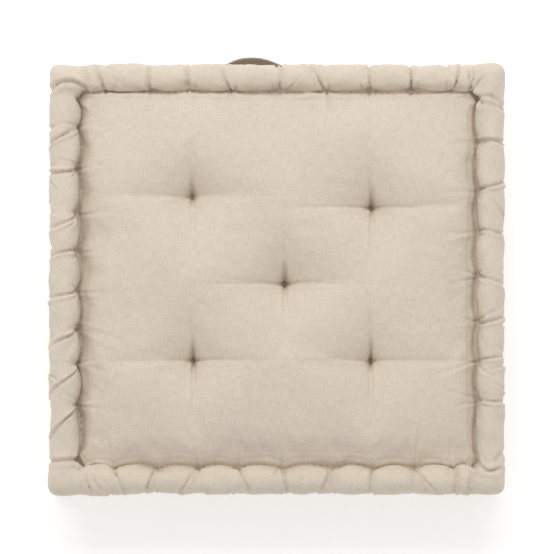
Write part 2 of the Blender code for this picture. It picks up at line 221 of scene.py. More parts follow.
def waves(x, y, seed, length, count=9):
    """Soft random unevenness of about -1 to 1, from a few crossing waves."""
    rng = np.random.default_rng(seed)
    total = np.zeros_like(x)
    for _ in range(count):
        angle, phase = rng.uniform(0, math.tau, 2)
        rate = math.tau / length * rng.uniform(0.6, 1.6)
        total += np.sin(rate * (x * math.cos(angle) + y * math.sin(angle)) + phase)
    return total / math.sqrt(count)


def by_side(x, y, values):
    """A value for each side, spread over places in plan, and eased from one to the next at the corners."""
    y = y - CENTRE_Y
    over_x, over_y = np.abs(x) - GROOVE_X, np.abs(y) - GROOVE_Y
    across = np.where(x < 0, values["left"], values["right"])
    along = np.where(y < 0, values["front"], values["back"])
    return across + (along - across) * smooth(0.5 + (over_y - over_x) / (30 * MM))


# The stuffed cover

ROLL_TUCK = 17  # degrees that a roll's cloth goes back under itself at the groove
ROLL_WRAP = 236  # degrees from the roll's inner side round to where the border begins
ROLL_RUN = ROLL_RADIUS * math.radians(ROLL_TUCK + ROLL_WRAP)
ROLL_SEAM = ROLL_RADIUS * math.radians(ROLL_TUCK + 186)  # from the groove to the seam on a roll's outer side
OUTLINE_CORNER = 8 * MM
GROOVE_CORNER = 7 * MM
SHOULDER = 95 * MM  # how far in from the groove a panel goes on rising
TUFT_CORE = 14 * MM  # radius of the steep middle of a tuft's dimple
TUFT_BOWL = 46 * MM  # radius of its wide bowl
UPPER_TUFT_DEPTH, LOWER_TUFT_DEPTH = 28 * MM, 20 * MM  # below the crown, and up into the underside
FULLER_CROWN = 1.0 * MM  # how much fuller the crown is than the frame's


class Face:
    """One face of the cushion: its roll, groove, crown and tufts."""

    def __init__(self, roll_z, outward, crown_z, tuft_z):
        self.groove_z = roll_z - outward * ROLL_RADIUS * math.sin(math.radians(ROLL_TUCK))
        self.crown_z = crown_z
        self.tuft_z = tuft_z

    def height(self, x, y):
        """Height of the panel inside the groove."""
        gape = by_side(x, y, GROOVE_GAPES)
        rise = 1.0
        for inset in (GROOVE_X - np.abs(x), GROOVE_Y - np.abs(y - CENTRE_Y)):
            steep = 1 - np.exp(-np.maximum(inset, 0) / gape)
            slow = 1 - (1 - np.clip(inset / SHOULDER, 0, 1)) ** 2.2
            rise = rise * (0.42 * steep + 0.58 * slow)
        z = self.groove_z + (self.crown_z - self.groove_z) * rise
        depth = self.crown_z - self.tuft_z
        for tuft in TUFTS.values():
            away_x, away_y = x - tuft.x, y - tuft.y
            pillow = np.abs(np.sin(2 * np.arctan2(away_y, away_x))) ** 0.75
            away = np.hypot(away_x, away_y) * (1 + 0.5 * pillow)
            z = z - depth * (0.62 * np.exp(-away / TUFT_CORE) + 0.38 * bump(away, TUFT_BOWL))
        return z


UPPER = Face(UPPER_ROLL_Z, 1, CROWN_Z + FULLER_CROWN, CROWN_Z - UPPER_TUFT_DEPTH)
LOWER = Face(LOWER_ROLL_Z, -1, 0.0, LOWER_TUFT_DEPTH)


def section(step):
    """(inset, height) points round both rolls and the border, from the upper groove to the lower one."""
    arc = math.radians(ROLL_TUCK + ROLL_WRAP)
    count = round(ROLL_RADIUS * arc / step)
    angles = arc * np.arange(count + 1) / count - math.radians(ROLL_TUCK)
    upper = np.stack([ROLL_RADIUS * (1 + np.cos(angles)), ROLL_RADIUS * np.sin(angles)], 1)
    fall = upper[-1, 1]
    wall_count = round((UPPER_ROLL_Z - WALL_Z + fall) / step)
    share = np.arange(1, wall_count + 1) / wall_count
    wall_inset = upper[-1, 0] + (WALL_INSET - upper[-1, 0]) * smooth(share * 1.5)
    wall_z = fall + (WALL_Z - UPPER_ROLL_Z - fall) * share
    half = np.concatenate([upper, np.stack([wall_inset, wall_z], 1)])
    top = half + [0, UPPER_ROLL_Z]
    bottom = (half * [1, -1] + [0, LOWER_ROLL_Z])[-2::-1]
    return np.concatenate([top, bottom])


def rounded(x, y, inset):
    """Rounds the corners of the square loop at an inset from the outline. y is from the middle."""
    radius = OUTLINE_CORNER + (GROOVE_CORNER - OUTLINE_CORNER) * min(inset / GROOVE_INSET, 1.0)
    start_x, start_y = HALF_X - inset - radius, HALF_Y - inset - radius
    over_x, over_y = np.abs(x) - start_x, np.abs(y) - start_y
    at_corner = (over_x > 0) & (over_y > 0)
    reach = np.maximum(np.hypot(over_x, over_y), 1e-9)
    scale = np.where(at_corner, np.maximum(over_x, over_y) / reach, 1.0)
    new_x = np.where(at_corner, np.sign(x) * (start_x + over_x * scale), x)
    new_y = np.where(at_corner, np.sign(y) * (start_y + over_y * scale), y)
    return new_x, new_y


def skin(step):
    """The cover before it is stuffed: points, quads, cloth coordinates, and run from the upper groove."""
    columns, rows = round(2 * GROOVE_X / step), round(2 * GROOVE_Y / step)
    grid_x = np.linspace(-GROOVE_X, GROOVE_X, columns + 1)
    grid_y = np.linspace(-GROOVE_Y, GROOVE_Y, rows + 1)
    at = np.arange((columns + 1) * (rows + 1)).reshape(columns + 1, rows + 1)
    flat_x, flat_y = (a.ravel() for a in np.meshgrid(grid_x, grid_y, indexing="ij"))
    inside = np.minimum(GROOVE_X - np.abs(flat_x), GROOVE_Y - np.abs(flat_y))
    rim = np.concatenate([at[:-1, 0], at[-1, :-1], at[:0:-1, -1], at[0, :0:-1]])
    rim_x, rim_y = flat_x[rim], flat_y[rim]
    around = len(rim)

    profile = section(step)
    rings = []
    for inset, z in profile:
        x, y = rounded(rim_x * (HALF_X - inset) / GROOVE_X, rim_y * (HALF_Y - inset) / GROOVE_Y, inset)
        rings.append(np.stack([x, y + CENTRE_Y, np.full_like(x, z)], 1))
    flat_x, flat_y = rounded(flat_x, flat_y, GROOVE_INSET)
    flat_y = flat_y + CENTRE_Y
    top = np.stack([flat_x, flat_y, UPPER.height(flat_x, flat_y)], 1)
    low = np.stack([flat_x, flat_y, LOWER.height(flat_x, flat_y)], 1)
    points = np.concatenate([top, *rings, low])

    loops = [rim] + [len(top) + around * k + np.arange(around) for k in range(len(rings))]
    loops.append(rim + len(top) + around * len(rings))
    corners = np.stack([at[:-1, :-1], at[1:, :-1], at[1:, 1:], at[:-1, 1:]], -1).reshape(-1, 4)
    quads = [corners, corners[:, ::-1] + (len(top) + around * len(rings))]
    plan = np.stack([flat_x, flat_y], 1)
    cloth = [plan[corners], (plan * [1, -1] - [0, 0.5])[corners[:, ::-1]]]
    along = np.concatenate([[0], np.cumsum(np.hypot(np.diff(rim_x), np.diff(rim_y)))])
    along = np.append(along, along[-1] + step) * HALF_X / GROOVE_X
    run = np.concatenate([[0], np.cumsum(np.hypot(*np.diff(profile, axis=0).T))])
    across = np.concatenate([[-step], run, [run[-1] + step]]) + 1.0
    following = np.roll(np.arange(around), -1)
    for k, (outer, inner) in enumerate(zip(loops, loops[1:])):
        quads.append(np.stack([outer, inner, inner[following], outer[following]], 1))
        here, after = along[:-1], along[1:]
        near, far = np.full(around, across[k]), np.full(around, across[k + 1])
        ring = ((here, near), (here, far), (after, far), (after, near))
        cloth.append(np.stack([np.stack(corner, 1) for corner in ring], 1))
    round_upper = np.concatenate([-inside, np.repeat(run, around), run[-1] + inside])
    return points, np.concatenate(quads), np.concatenate(cloth), round_upper


def object_from(name, mesh):
    """Puts a mesh in the scene as an object."""
    obj = bpy.data.objects.new(name, mesh)
    bpy.context.scene.collection.objects.link(obj)
    return obj


def mesh_from(name, points, quads, cloth=None):
    """Mesh object with smooth faces, and a UV map where cloth coordinates are given."""
    mesh = bpy.data.meshes.new(name)
    mesh.from_pydata(points.tolist(), [], quads.tolist())
    mesh.shade_smooth()
    if cloth is not None:
        layer = mesh.uv_layers.new(name="cloth")
        layer.uv.foreach_set("vector", cloth.reshape(-1).astype(np.float32))
    mesh.update()
    return object_from(name, mesh)


def coordinates(obj):
    """Places of an object's points."""
    co = np.empty(len(obj.data.vertices) * 3, np.float32)
    obj.data.vertices.foreach_get("co", co)
    return co.reshape(-1, 3).astype(float)


def set_coordinates(obj, co):
    """Moves an object's points to new places."""
    obj.data.vertices.foreach_set("co", co.astype(np.float32).ravel())
    obj.data.update()


def normals(obj):
    """Outward directions at an object's points."""
    out = np.empty(len(obj.data.vertices) * 3, np.float32)
    obj.data.vertex_normals.foreach_get("vector", out)
    return out.reshape(-1, 3).astype(float)


def keep_values(obj, name, values):
    """Stores one number, or one place, for each point of a mesh."""
    flat = values.ndim == 1
    stored = obj.data.attributes.new(name, "FLOAT" if flat else "FLOAT_VECTOR", "POINT")
    stored.data.foreach_set("value" if flat else "vector", values.astype(np.float32).ravel())


def kept_values(obj, name):
    """Reads back what keep_values stored."""
    stored = obj.data.attributes[name]
    flat = stored.data_type == "FLOAT"
    values = np.empty(len(obj.data.vertices) * (1 if flat else 3), np.float32)
    stored.data.foreach_get("value" if flat else "vector", values)
    return values.astype(float) if flat else values.reshape(-1, 3).astype(float)


def apply_modifiers(obj):
    """Replaces an object's mesh with the one its modifiers make."""
    graph = bpy.context.evaluated_depsgraph_get()
    mesh = bpy.data.meshes.new_from_object(obj.evaluated_get(graph))
    before = obj.data
    obj.modifiers.clear()
    obj.data = mesh
    bpy.data.meshes.remove(before)


def stuff(obj, sewn, limit, frames):
    """Blows the cover up as its filling does, held where it is sewn, each point within its own limit."""
    rest = coordinates(obj)
    group = obj.vertex_groups.new(name="sewn")
    for weight, members in sewn:
        group.add([int(m) for m in members], weight, "REPLACE")
    cloth = obj.modifiers.new("stuffing", "CLOTH")
    cloth.settings.quality = 5
    cloth.settings.mass = 0.12
    cloth.settings.tension_stiffness = 12
    cloth.settings.compression_stiffness = 12
    cloth.settings.shear_stiffness = 4
    cloth.settings.bending_stiffness = 0.25
    cloth.settings.air_damping = 4
    cloth.settings.shrink_min = -0.012
    cloth.settings.use_pressure = True
    cloth.settings.uniform_pressure_force = 4
    cloth.settings.vertex_group_mass = "sewn"
    cloth.settings.effector_weights.gravity = 0
    cloth.collision_settings.use_collision = False
    cloth.collision_settings.use_self_collision = False
    scene = bpy.context.scene
    for number in range(1, frames + 1):
        scene.frame_set(number)
    graph = bpy.context.evaluated_depsgraph_get()
    result = bpy.data.meshes.new_from_object(obj.evaluated_get(graph))
    moved = np.empty(len(result.vertices) * 3, np.float32)
    result.vertices.foreach_get("co", moved)
    bpy.data.meshes.remove(result)
    obj.modifiers.clear()
    obj.vertex_groups.clear()
    scene.frame_set(1)
    shift = moved.reshape(-1, 3) - rest
    size = np.maximum(np.linalg.norm(shift, axis=1), 1e-9)
    shift *= (limit * np.tanh(size / np.maximum(limit, 1e-6)) / size)[:, None]
    set_coordinates(obj, rest + shift)


def nearest_gather(s):
    """Share of the way from the gather behind to the next one, for edge lengths s."""
    places = gather_places()
    wrapped = np.concatenate([places, [places[0] + EDGE_LENGTH]])
    s = np.where(s < places[0], s + EDGE_LENGTH, s)
    index = np.clip(np.searchsorted(wrapped, s, side="right") - 1, 0, len(places) - 1)
    return (s - wrapped[index]) / (wrapped[index + 1] - wrapped[index])


SCALLOP_ON_ROLL = 17 * MM  # how far from the groove its scallops reach on the roll
SCALLOP_ON_PANEL = 11 * MM  # and on the panel
GROOVE_SINK = 6 * MM  # how far from the groove the cloth sinks with it


def scalloped(rest, round_upper, round_lower):
    """Shift of the cloth near both grooves: each roll swells over the panel between its gathers."""
    x, y = rest[:, 0], rest[:, 1]
    over_x, over_y = np.abs(x) - GROOVE_X, np.abs(y - CENTRE_Y) - GROOVE_Y
    straight = smooth((np.abs(over_x - over_y) - 1 * MM) / (9 * MM))
    swell = np.sin(math.pi * nearest_gather(edge_length_at(x, y))) ** 0.75 * straight
    beside_x = (over_x > over_y).astype(float)
    swing = by_side(x, y, SCALLOPS) * (swell - 0.6) - by_side(x, y, DRAWN_BACK)
    shift = np.zeros_like(rest)
    for run, down in ((round_upper, -1), (round_lower, 1)):
        near = bump(run, np.where(run > 0, SCALLOP_ON_ROLL, SCALLOP_ON_PANEL))
        shift[:, 0] -= np.sign(x) * beside_x * swing * near
        shift[:, 1] -= np.sign(y - CENTRE_Y) * (1 - beside_x) * swing * near
        sunk = 1.2 * MM * (1 - swell) - by_side(x, y, GROOVE_LIFTS)
        shift[:, 2] += down * sunk * bump(run, GROOVE_SINK)
    return shift


def fold(distance, width, lean):
    """Cross-section of a crease: a narrow valley with a soft ridge on the side it leans to."""
    valley = -np.exp(-(np.abs(distance / width) ** 1.5))
    ridge = 0.5 * bump(distance - lean * 1.9 * width, 1.2 * width)
    return valley + ridge


def from_place(s, place):
    """Edge length from a place to each s, the short way round."""
    return (s - place + EDGE_LENGTH / 2) % EDGE_LENGTH - EDGE_LENGTH / 2


def over_part(part, count, values):
    """Values of a part of the points, with nought at the others."""
    out = np.zeros(count)
    out[part] = values
    return out


# Creases of the rolls at each gather, as ranges in mm: a gather is deep and long, the others are slight
ROLL_CREASES = ("gather", "twin", "pleat", "pleat", "outer", "outer", "outer")
GATHER_DEPTH, GATHER_LENGTH = (2.8, 4.0), (56, 84)
PLEAT_DEPTH, PLEAT_LENGTH = (0.7, 2.1), (18, 46)
CREASE_WIDTH = (1.05, 1.35)
GATHER_SLANTS = {"front": 0.0, "right": 0.1, "back": 0.0, "left": 0.22}


def roll_relief(rest, run, seed):
    """Height of the gathers and pleats on one face's roll. run is how far the cloth is from its groove."""
    here = (run > -3 * MM) & (run < ROLL_RUN + 4 * MM)
    s, q = edge_length_at(rest[here, 0], rest[here, 1]), run[here]
    rng = np.random.default_rng(seed)
    share = nearest_gather(s)
    relief = 0.9 * MM * (np.sin(math.pi * share) ** 0.7 - 0.6)
    relief += 0.5 * MM * waves(s, q, seed, 34 * MM) + 0.8 * MM * waves(s, 0 * q, seed + 1, 130 * MM)
    for side in SIDES:
        for along in GATHERS[side]:
            place = gather_place(side, along)
            for kind in ROLL_CREASES:
                gather = kind == "gather"
                offset = 0.0 if gather else rng.uniform(-13, 13) * MM
                if kind == "twin":
                    offset = rng.choice((-1.0, 1.0)) * rng.uniform(3, 6) * MM
                skew = GATHER_SLANTS[side] + rng.normal(0, 0.16 if gather else 0.24)
                bend = rng.normal(0, 4.0)
                width = rng.uniform(*CREASE_WIDTH) * MM
                depth = rng.uniform(*(GATHER_DEPTH if gather else PLEAT_DEPTH)) * MM
                length = rng.uniform(*(GATHER_LENGTH if gather else PLEAT_LENGTH)) * MM
                lean = rng.choice((-1.0, 1.0))
                outer = ROLL_RUN - q
                from_start = outer if kind == "outer" else q
                away = from_place(s, place + offset * 0.35) - offset * 0.65 * from_start / ROLL_RUN
                away = away - skew * from_start - bend * from_start * from_start
                fade = smooth((length - from_start) / (0.6 * length))
                if gather:
                    fade = np.maximum(fade, 0.6 * smooth((22 * MM - outer) / (14 * MM)))
                if kind != "outer":
                    fade = fade * (0.12 + 0.88 * smooth((q - 2 * MM) / (14 * MM)))
                wide = width * (0.9 + 0.7 * np.clip(from_start, 0, None) / ROLL_RUN)
                relief += depth * fade * fold(away, wide, lean)
    relief -= 0.9 * MM * bump(q - ROLL_SEAM, 1.3 * MM)
    relief += 0.5 * MM * bump(q - ROLL_SEAM - 3 * MM, 1.6 * MM)
    return over_part(here, len(rest), relief)


def curve_through(corners, count=24):
    """Evenly numbered points on a smooth curve through a few points."""
    corners = np.array(corners, float)
    ends = np.concatenate([[2 * corners[0] - corners[1]], corners, [2 * corners[-1] - corners[-2]]])
    points = []
    t = np.linspace(0, 1, count, endpoint=False)[:, None]
    for a, b, c, d in zip(ends, ends[1:], ends[2:], ends[3:]):
        square, cube = 2 * a - 5 * b + 4 * c - d, 3 * b - 3 * c + d - a
        points.append(0.5 * (2 * b + (c - a) * t + square * t**2 + cube * t**3))
    return np.concatenate(points + [corners[-1:]])


CORNER_REACH = 75 * MM  # size of the square at each corner that its folds are in
CORNER_BLOCK = 12 * MM  # in from both edges to where the cloth bunches up


def corner_relief(rest, run, swap):
    """Height of the folds where one face's rolls meet. A swap of -1 turns the corners half round."""
    total = np.zeros(len(rest))
    for corner, folds in CORNER_FOLDS.items():
        east = (1 if "right" in corner else -1) * swap
        north = (1 if "back" in corner else -1) * swap
        in_x, in_y = HALF_X - rest[:, 0] * east, HALF_Y - (rest[:, 1] - CENTRE_Y) * north
        here = (in_x < CORNER_REACH) & (in_y < CORNER_REACH) & (run > -4 * MM) & (run < ROLL_RUN)
        plan = np.stack([in_x[here], in_y[here]], 1)
        relief = np.zeros(len(plan))
        for corners, depth, width in folds:
            path = curve_through(corners) * MM
            away = np.hypot(*(plan[:, None, :] - path[None, :, :]).transpose(2, 0, 1))
            near = away.min(1)
            share = away.argmin(1) / (len(path) - 1)
            taper = 0.35 + 0.65 * np.sin(math.pi * np.clip(share, 0.08, 0.92)) ** 0.6
            valley = -np.exp(-((near / (width * MM)) ** 1.5))
            ridge = 0.42 * bump(near - 2.6 * width * MM, 1.6 * width * MM)
            relief += 1.1 * depth * MM * taper * (valley + ridge)
        block = np.hypot(plan[:, 0] - CORNER_BLOCK, plan[:, 1] - CORNER_BLOCK)
        relief += 2.0 * MM * bump(block, 14 * MM)
        relief *= smooth((ROLL_RUN - run[here]) / (16 * MM))
        total[here] += relief
    return total


PIT_DEPTH, PIT_RADIUS = 8.5 * MM, 3.3 * MM  # of the narrow pit at each tuft
SLOT_DEPTH, SLOT_WIDTH = 4.6 * MM, 1.9 * MM  # of the slot behind it
SLOT_BACK, SLOT_HALF = 5 * MM, 19 * MM  # how far back the slot's middle is, and half its length


def tuft_sink(x, y):
    """How much further the twine pulls the cloth in at the tufts: a narrow pit and a slot behind it."""
    sink = np.zeros_like(x)
    for tuft in TUFTS.values():
        away_x, away_y = x - tuft.x, y - tuft.y
        sink += PIT_DEPTH * np.exp(-((np.hypot(away_x, away_y * 0.75) / PIT_RADIUS) ** 1.4))
        slot = smooth(1 - np.abs(away_y - SLOT_BACK) / SLOT_HALF)
        sink += SLOT_DEPTH * slot * bump(away_x, SLOT_WIDTH)
    return sink


# Creases that run out from each tuft: degrees round from the right, depth and length in mm
TUFT_CREASES = (
    (0, 1.9, 62), (180, 2.0, 66), (90, 1.5, 110), (270, 1.9, 70),
    (38, 0.3, 24), (142, 0.35, 24), (212, 0.5, 30), (330, 0.5, 30), (195, 0.5, 40),
)


def panel_relief(rest, inside, seed):
    """Height of the creases over one panel. inside is how far in from its groove."""
    here = inside > -2 * MM
    x, y, inside = rest[here, 0], rest[here, 1], inside[here]
    rng = np.random.default_rng(seed)
    relief = 0.7 * MM * waves(x, y, seed, 85 * MM) * smooth(inside / (40 * MM))
    relief += 0.16 * MM * waves(x, y, seed + 2, 22 * MM)
    for tuft in TUFTS.values():
        away_x, away_y = x - tuft.x, y - tuft.y
        for angle, depth, length in TUFT_CREASES:
            turned = math.radians(angle + rng.uniform(-4, 4))
            along = away_x * math.cos(turned) + away_y * math.sin(turned)
            across = -away_x * math.sin(turned) + away_y * math.cos(turned)
            across = across - rng.uniform(-1.2, 1.2) * along * along
            forward = np.clip(along, 0, None)
            fade = np.exp(-forward / (length * MM * 0.6)) * smooth(along / (4 * MM))
            fade = fade * smooth(2 - forward / (length * MM))
            lean = -1.0 if math.cos(turned) > 0 else 1.0
            crease = fold(across, 1.3 * MM + 0.035 * forward, lean)
            relief += depth * rng.uniform(0.5, 1.2) * MM * fade * crease
    s = edge_length_at(x, y)
    for place in gather_places():
        for _ in range(2):
            offset, skew = rng.uniform(-3, 3) * MM, rng.normal(0, 0.2)
            depth, length = rng.uniform(0.5, 1.3) * MM, rng.uniform(12, 60) * MM
            away = from_place(s, place + offset) - skew * inside
            fade = smooth((length - inside) / length)
            width = 1.2 * MM + 0.06 * np.maximum(inside, 0)
            relief += depth * fade * fold(away, width, rng.choice((-1.0, 1.0)))
    return over_part(here, len(rest), relief)


HANDLE_FLAT = 74 * MM  # half the length of border that the handle keeps flat
PLEAT_SPREAD, PLEATS_EACH_SIDE = 12, 2  # in mm from a gather, and at each roll


def border_relief(rest, round_upper, round_lower, seed):
    """Unevenness, corner seams and short pleats of the border between the rolls."""
    here = (round_upper > ROLL_RUN - 4 * MM) & (round_lower > ROLL_RUN - 4 * MM)
    s = edge_length_at(rest[here, 0], rest[here, 1])
    below, above = round_upper[here] - ROLL_RUN, round_lower[here] - ROLL_RUN
    rng = np.random.default_rng(seed)
    handle = edge_length_at(np.array([HINGE.x]), np.array([HINGE.y]))[0]
    clear = smooth((np.abs(from_place(s, handle)) - HANDLE_FLAT) / (22 * MM))
    middle_share = 1 - ((below - above) / (below + above)) ** 2
    relief = clear * (1.4 * MM * middle_share + 0.5 * MM * waves(s, below, seed, 70 * MM))
    relief -= 1.8 * MM * (bump(below, 2.2 * MM) + bump(above, 2.2 * MM))
    for side in SIDES:
        seam = side_start(side) - CORNER_RUN * math.pi / 4
        relief += 1.4 * MM * fold(from_place(s, seam), 1.2 * MM, 1.0)
    for place in gather_places():
        for run in (below, above):
            for _ in range(PLEATS_EACH_SIDE):
                offset, skew = rng.uniform(-PLEAT_SPREAD, PLEAT_SPREAD) * MM, rng.normal(0, 0.14)
                depth, length = rng.uniform(0.9, 1.9) * MM, rng.uniform(18, 46) * MM
                away = from_place(s, place + offset) - skew * run
                fade = smooth((length - run) / length) * (0.1 + 0.9 * clear)
                width = 1.7 * MM + 0.03 * np.maximum(run, 0)
                relief += depth * fade * fold(away, width, rng.choice((-1.0, 1.0)))
    return over_part(here, len(rest), relief)


DENT_DEPTH = 4.2 * MM
DENT_HALF = 66 * MM  # half its length along the roll
DENT_RISE = 11 * MM  # how far its middle is above the roll's, and how fast it fades up and down


def strap_dent(rest):
    """How far the strap, when it hangs lowest, presses the lower roll in."""
    along = smooth((DENT_HALF - np.abs(rest[:, 0] - HINGE.x)) / (22 * MM))
    behind = smooth((rest[:, 1] - HINGE.y + 16 * MM) / (8 * MM))
    level = bump(rest[:, 2] - LOWER_ROLL_Z - DENT_RISE, DENT_RISE)
    return DENT_DEPTH * along * behind * level


CORNER_HOLD = 34 * MM  # in from the edges to where a corner's seams begin to hold the cloth
HANDLE_HOLD_X, HANDLE_HOLD_Z = 84 * MM, 22 * MM  # how far from the hinge the handle holds the border
HANDLE_HOLD_DEPTH = 6 * MM
TUFT_HOLD = 5 * MM  # radius in which a tuft's twine holds the cloth
STUFFING_FRAMES = 20


def stuff_cover(cover, points, round_upper, round_lower, swell):
    """Runs the stuffing on the coarse cloth, pinned at the grooves, tufts and handle."""
    corner = np.hypot(
        np.clip(np.abs(points[:, 0]) - HALF_X + CORNER_HOLD, 0, None),
        np.clip(np.abs(points[:, 1] - CENTRE_Y) - HALF_Y + CORNER_HOLD, 0, None),
    )
    limit = swell * (1 - 0.75 * smooth(corner / (30 * MM)))
    from_tuft = np.min([np.hypot(points[:, 0] - t.x, points[:, 1] - t.y) for t in TUFTS.values()], axis=0)
    on_panel = (round_upper < 0) | (round_lower < 0)
    at_handle = np.abs(points[:, 0] - HINGE.x) < HANDLE_HOLD_X
    at_handle &= points[:, 1] > HINGE.y - HANDLE_HOLD_DEPTH
    at_handle &= np.abs(points[:, 2] - HINGE.z) < HANDLE_HOLD_Z
    sewn = (
        (0.3, np.abs(points[:, 2] - WALL_Z) < 12 * MM),
        (0.6, points[:, 2] < 2 * MM),
        (1.0, (np.abs(round_upper) < 0.1 * MM) | (np.abs(round_lower) < 0.1 * MM)),
        (1.0, on_panel & (from_tuft < TUFT_HOLD)),
        (1.0, at_handle),
    )
    stuff(cover, [(weight, np.flatnonzero(where)) for weight, where in sewn], limit, STUFFING_FRAMES)


def make_cover(settings):
    """The closed, stuffed cover with its rolls, grooves, tufts and creases."""
    points, quads, cloth, round_upper = skin(settings.cloth_step)
    round_lower = round_upper.max() + round_upper.min() - round_upper
    cover = mesh_from("cushion_cover", points, quads, cloth)
    for name, values in (("rest_place", points), ("round_upper", round_upper), ("round_lower", round_lower)):
        keep_values(cover, name, values)
    stuff_cover(cover, points, round_upper, round_lower, settings.swell)
    subdivision = cover.modifiers.new("finer_cloth", "SUBSURF")
    subdivision.levels = subdivision.render_levels = 2
    subdivision.uv_smooth = "NONE"
    apply_modifiers(cover)
    rest = kept_values(cover, "rest_place")
    round_upper, round_lower = kept_values(cover, "round_upper"), kept_values(cover, "round_lower")
    shift = scalloped(rest, round_upper, round_lower)
    for run, face, down in ((round_upper, UPPER, -1), (round_lower, LOWER, 1)):
        inside = run < 0
        x, y = rest[inside, 0], rest[inside, 1]
        shift[inside, 2] += face.height(x, y) - rest[inside, 2] + down * tuft_sink(x, y)
    set_coordinates(cover, coordinates(cover) + shift)
    relief = (
        roll_relief(rest, round_upper, 11) + roll_relief(rest, round_lower, 23)
        + corner_relief(rest, round_upper, 1) + corner_relief(rest, round_lower, -1)
        + panel_relief(rest, -round_upper, 5) + panel_relief(rest, -round_lower, 8)
        + border_relief(rest, round_upper, round_lower, 31) - strap_dent(rest)
    )
    co = coordinates(cover) + normals(cover) * (settings.crease_depth * relief)[:, None]
    co[:, 2] = np.maximum(co[:, 2], 0.0)
    set_coordinates(cover, co)
    cover.data.materials.append(
        cloth_material("cover_cotton_cloth", settings.colour, settings.thread_pitch, *COTTON_WEAVE)
    )
    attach(cover, "cushion")
    shells = ["top_panel", "bottom_panel", "filling_core"] + [f"border_{side}" for side in SIDES]
    rolls = [f"{level}_roll_wadding_{side}" for level in ("upper", "lower") for side in SIDES]
    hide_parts(*shells, *rolls)


# Threads and stitches


def tube(name, lines, radius, sides=8):
    """One mesh of round threads, each swept along a line of points and closed at both ends."""
    points, faces = [], []
    for line in lines:
        line = np.array(line, float)
        ahead = np.gradient(line, axis=0)
        ahead /= np.maximum(np.linalg.norm(ahead, axis=1), 1e-12)[:, None]
        up = np.array([0.0, 0.0, 1.0]) if abs(ahead[0][2]) < 0.8 else np.array([1.0, 0.0, 0.0])
        start = sum(len(p) for p in points)
        for k, (place, direction) in enumerate(zip(line, ahead)):
            up = up - direction * up.dot(direction)
            up /= np.linalg.norm(up)
            beside = np.cross(direction, up)
            end = 0.45 if k in (0, len(line) - 1) else 1.0
            turn = math.tau * np.arange(sides) / sides
            ring = np.cos(turn)[:, None] * beside + np.sin(turn)[:, None] * up
            points.append(place + radius * end * ring)
        for k in range(len(line) - 1):
            for side in range(sides):
                a, b = start + k * sides + side, start + k * sides + (side + 1) % sides
                faces.append((a, b, b + sides, a + sides))
        last = start + (len(line) - 1) * sides
        for a, b in ((start, -1), (last, 1)):
            ring = [a + side for side in range(sides)][::b]
            faces += [(ring[0], ring[k], ring[k + 1], ring[k + 2]) for k in range(1, sides - 2, 2)]
    return mesh_from(name, np.concatenate(points), np.array(faces))


def stitch_tree():
    """Node tree that sets evenly spaced, round-ended stitches along the lines it is given."""
    tree = bpy.data.node_groups.new("stitches_along_line", "GeometryNodeTree")
    sockets = tree.interface
    sockets.new_socket("Geometry", in_out="INPUT", socket_type="NodeSocketGeometry")
    for name, default in (("Stitch length", 4 * MM), ("Spacing", 5 * MM), ("Thread thickness", 0.9 * MM)):
        socket = sockets.new_socket(name, in_out="INPUT", socket_type="NodeSocketFloat")
        socket.default_value = default
    sockets.new_socket("Thread", in_out="INPUT", socket_type="NodeSocketMaterial")
    sockets.new_socket("Geometry", in_out="OUTPUT", socket_type="NodeSocketGeometry")
    given = tree.nodes.new("NodeGroupInput").outputs
    lines = output_of(tree, "Curve", "GeometryNodeMeshToCurve", {"Mesh": given["Geometry"]})
    along = {"Curve": lines, "Length": given["Spacing"]}
    places = output_of(tree, "Curve", "GeometryNodeResampleCurve", along, mode="LENGTH")
    stitch = output_of(tree, "Mesh", "GeometryNodeMeshUVSphere", {"Segments": 8, "Rings": 6, "Radius": 0.5})
    tangent = output_of(tree, "Tangent", "GeometryNodeInputTangent")
    turned = output_of(tree, "Rotation", "FunctionNodeAlignRotationToVector", {"Vector": tangent}, axis="Z")
    thick, long = given["Thread thickness"], given["Stitch length"]
    size = output_of(tree, "Vector", "ShaderNodeCombineXYZ", {"X": thick, "Y": thick, "Z": long})
    laid = {"Points": places, "Instance": stitch, "Rotation": turned, "Scale": size}
    placed = output_of(tree, "Instances", "GeometryNodeInstanceOnPoints", laid)
    smoothed = output_of(tree, "Geometry", "GeometryNodeSetShadeSmooth", {"Geometry": placed})
    real = output_of(tree, "Geometry", "GeometryNodeRealizeInstances", {"Geometry": smoothed})
    dyed = {"Geometry": real, "Material": given["Thread"]}
    finished = output_of(tree, "Geometry", "GeometryNodeSetMaterial", dyed)
    tree.links.new(finished, tree.nodes.new("NodeGroupOutput").inputs["Geometry"])
    return tree


def stitch_along(name, lines, thread, length, spacing, thickness):
    """Mesh of stitches along lines of points. A line whose ends meet is given as closed."""
    mesh = bpy.data.meshes.new(name)
    points, edges = [], []
    for line, closed in lines:
        start = len(points)
        points += [tuple(p) for p in line]
        edges += [(start + k, start + k + 1) for k in range(len(line) - 1)]
        if closed:
            edges.append((start + len(line) - 1, start))
    mesh.from_pydata(points, edges, [])
    obj = object_from(name, mesh)
    tree = bpy.data.node_groups.get("stitches_along_line") or stitch_tree()
    modifier = obj.modifiers.new("stitches", "NODES")
    modifier.node_group = tree
    values = {"Stitch length": length, "Spacing": spacing, "Thread thickness": thickness, "Thread": thread}
    for item in tree.interface.items_tree:
        if item.in_out == "INPUT" and item.name in values:
            modifier[item.identifier] = values[item.name]
    apply_modifiers(obj)
    return obj


def thinned(line, gap):
    """A closed line of points without those that crowd together."""
    kept = [line[0]]
    for place in line[1:]:
        if np.linalg.norm(place - kept[-1]) >= gap and np.linalg.norm(place - kept[0]) >= gap * 0.7:
            kept.append(place)
    return np.array(kept)


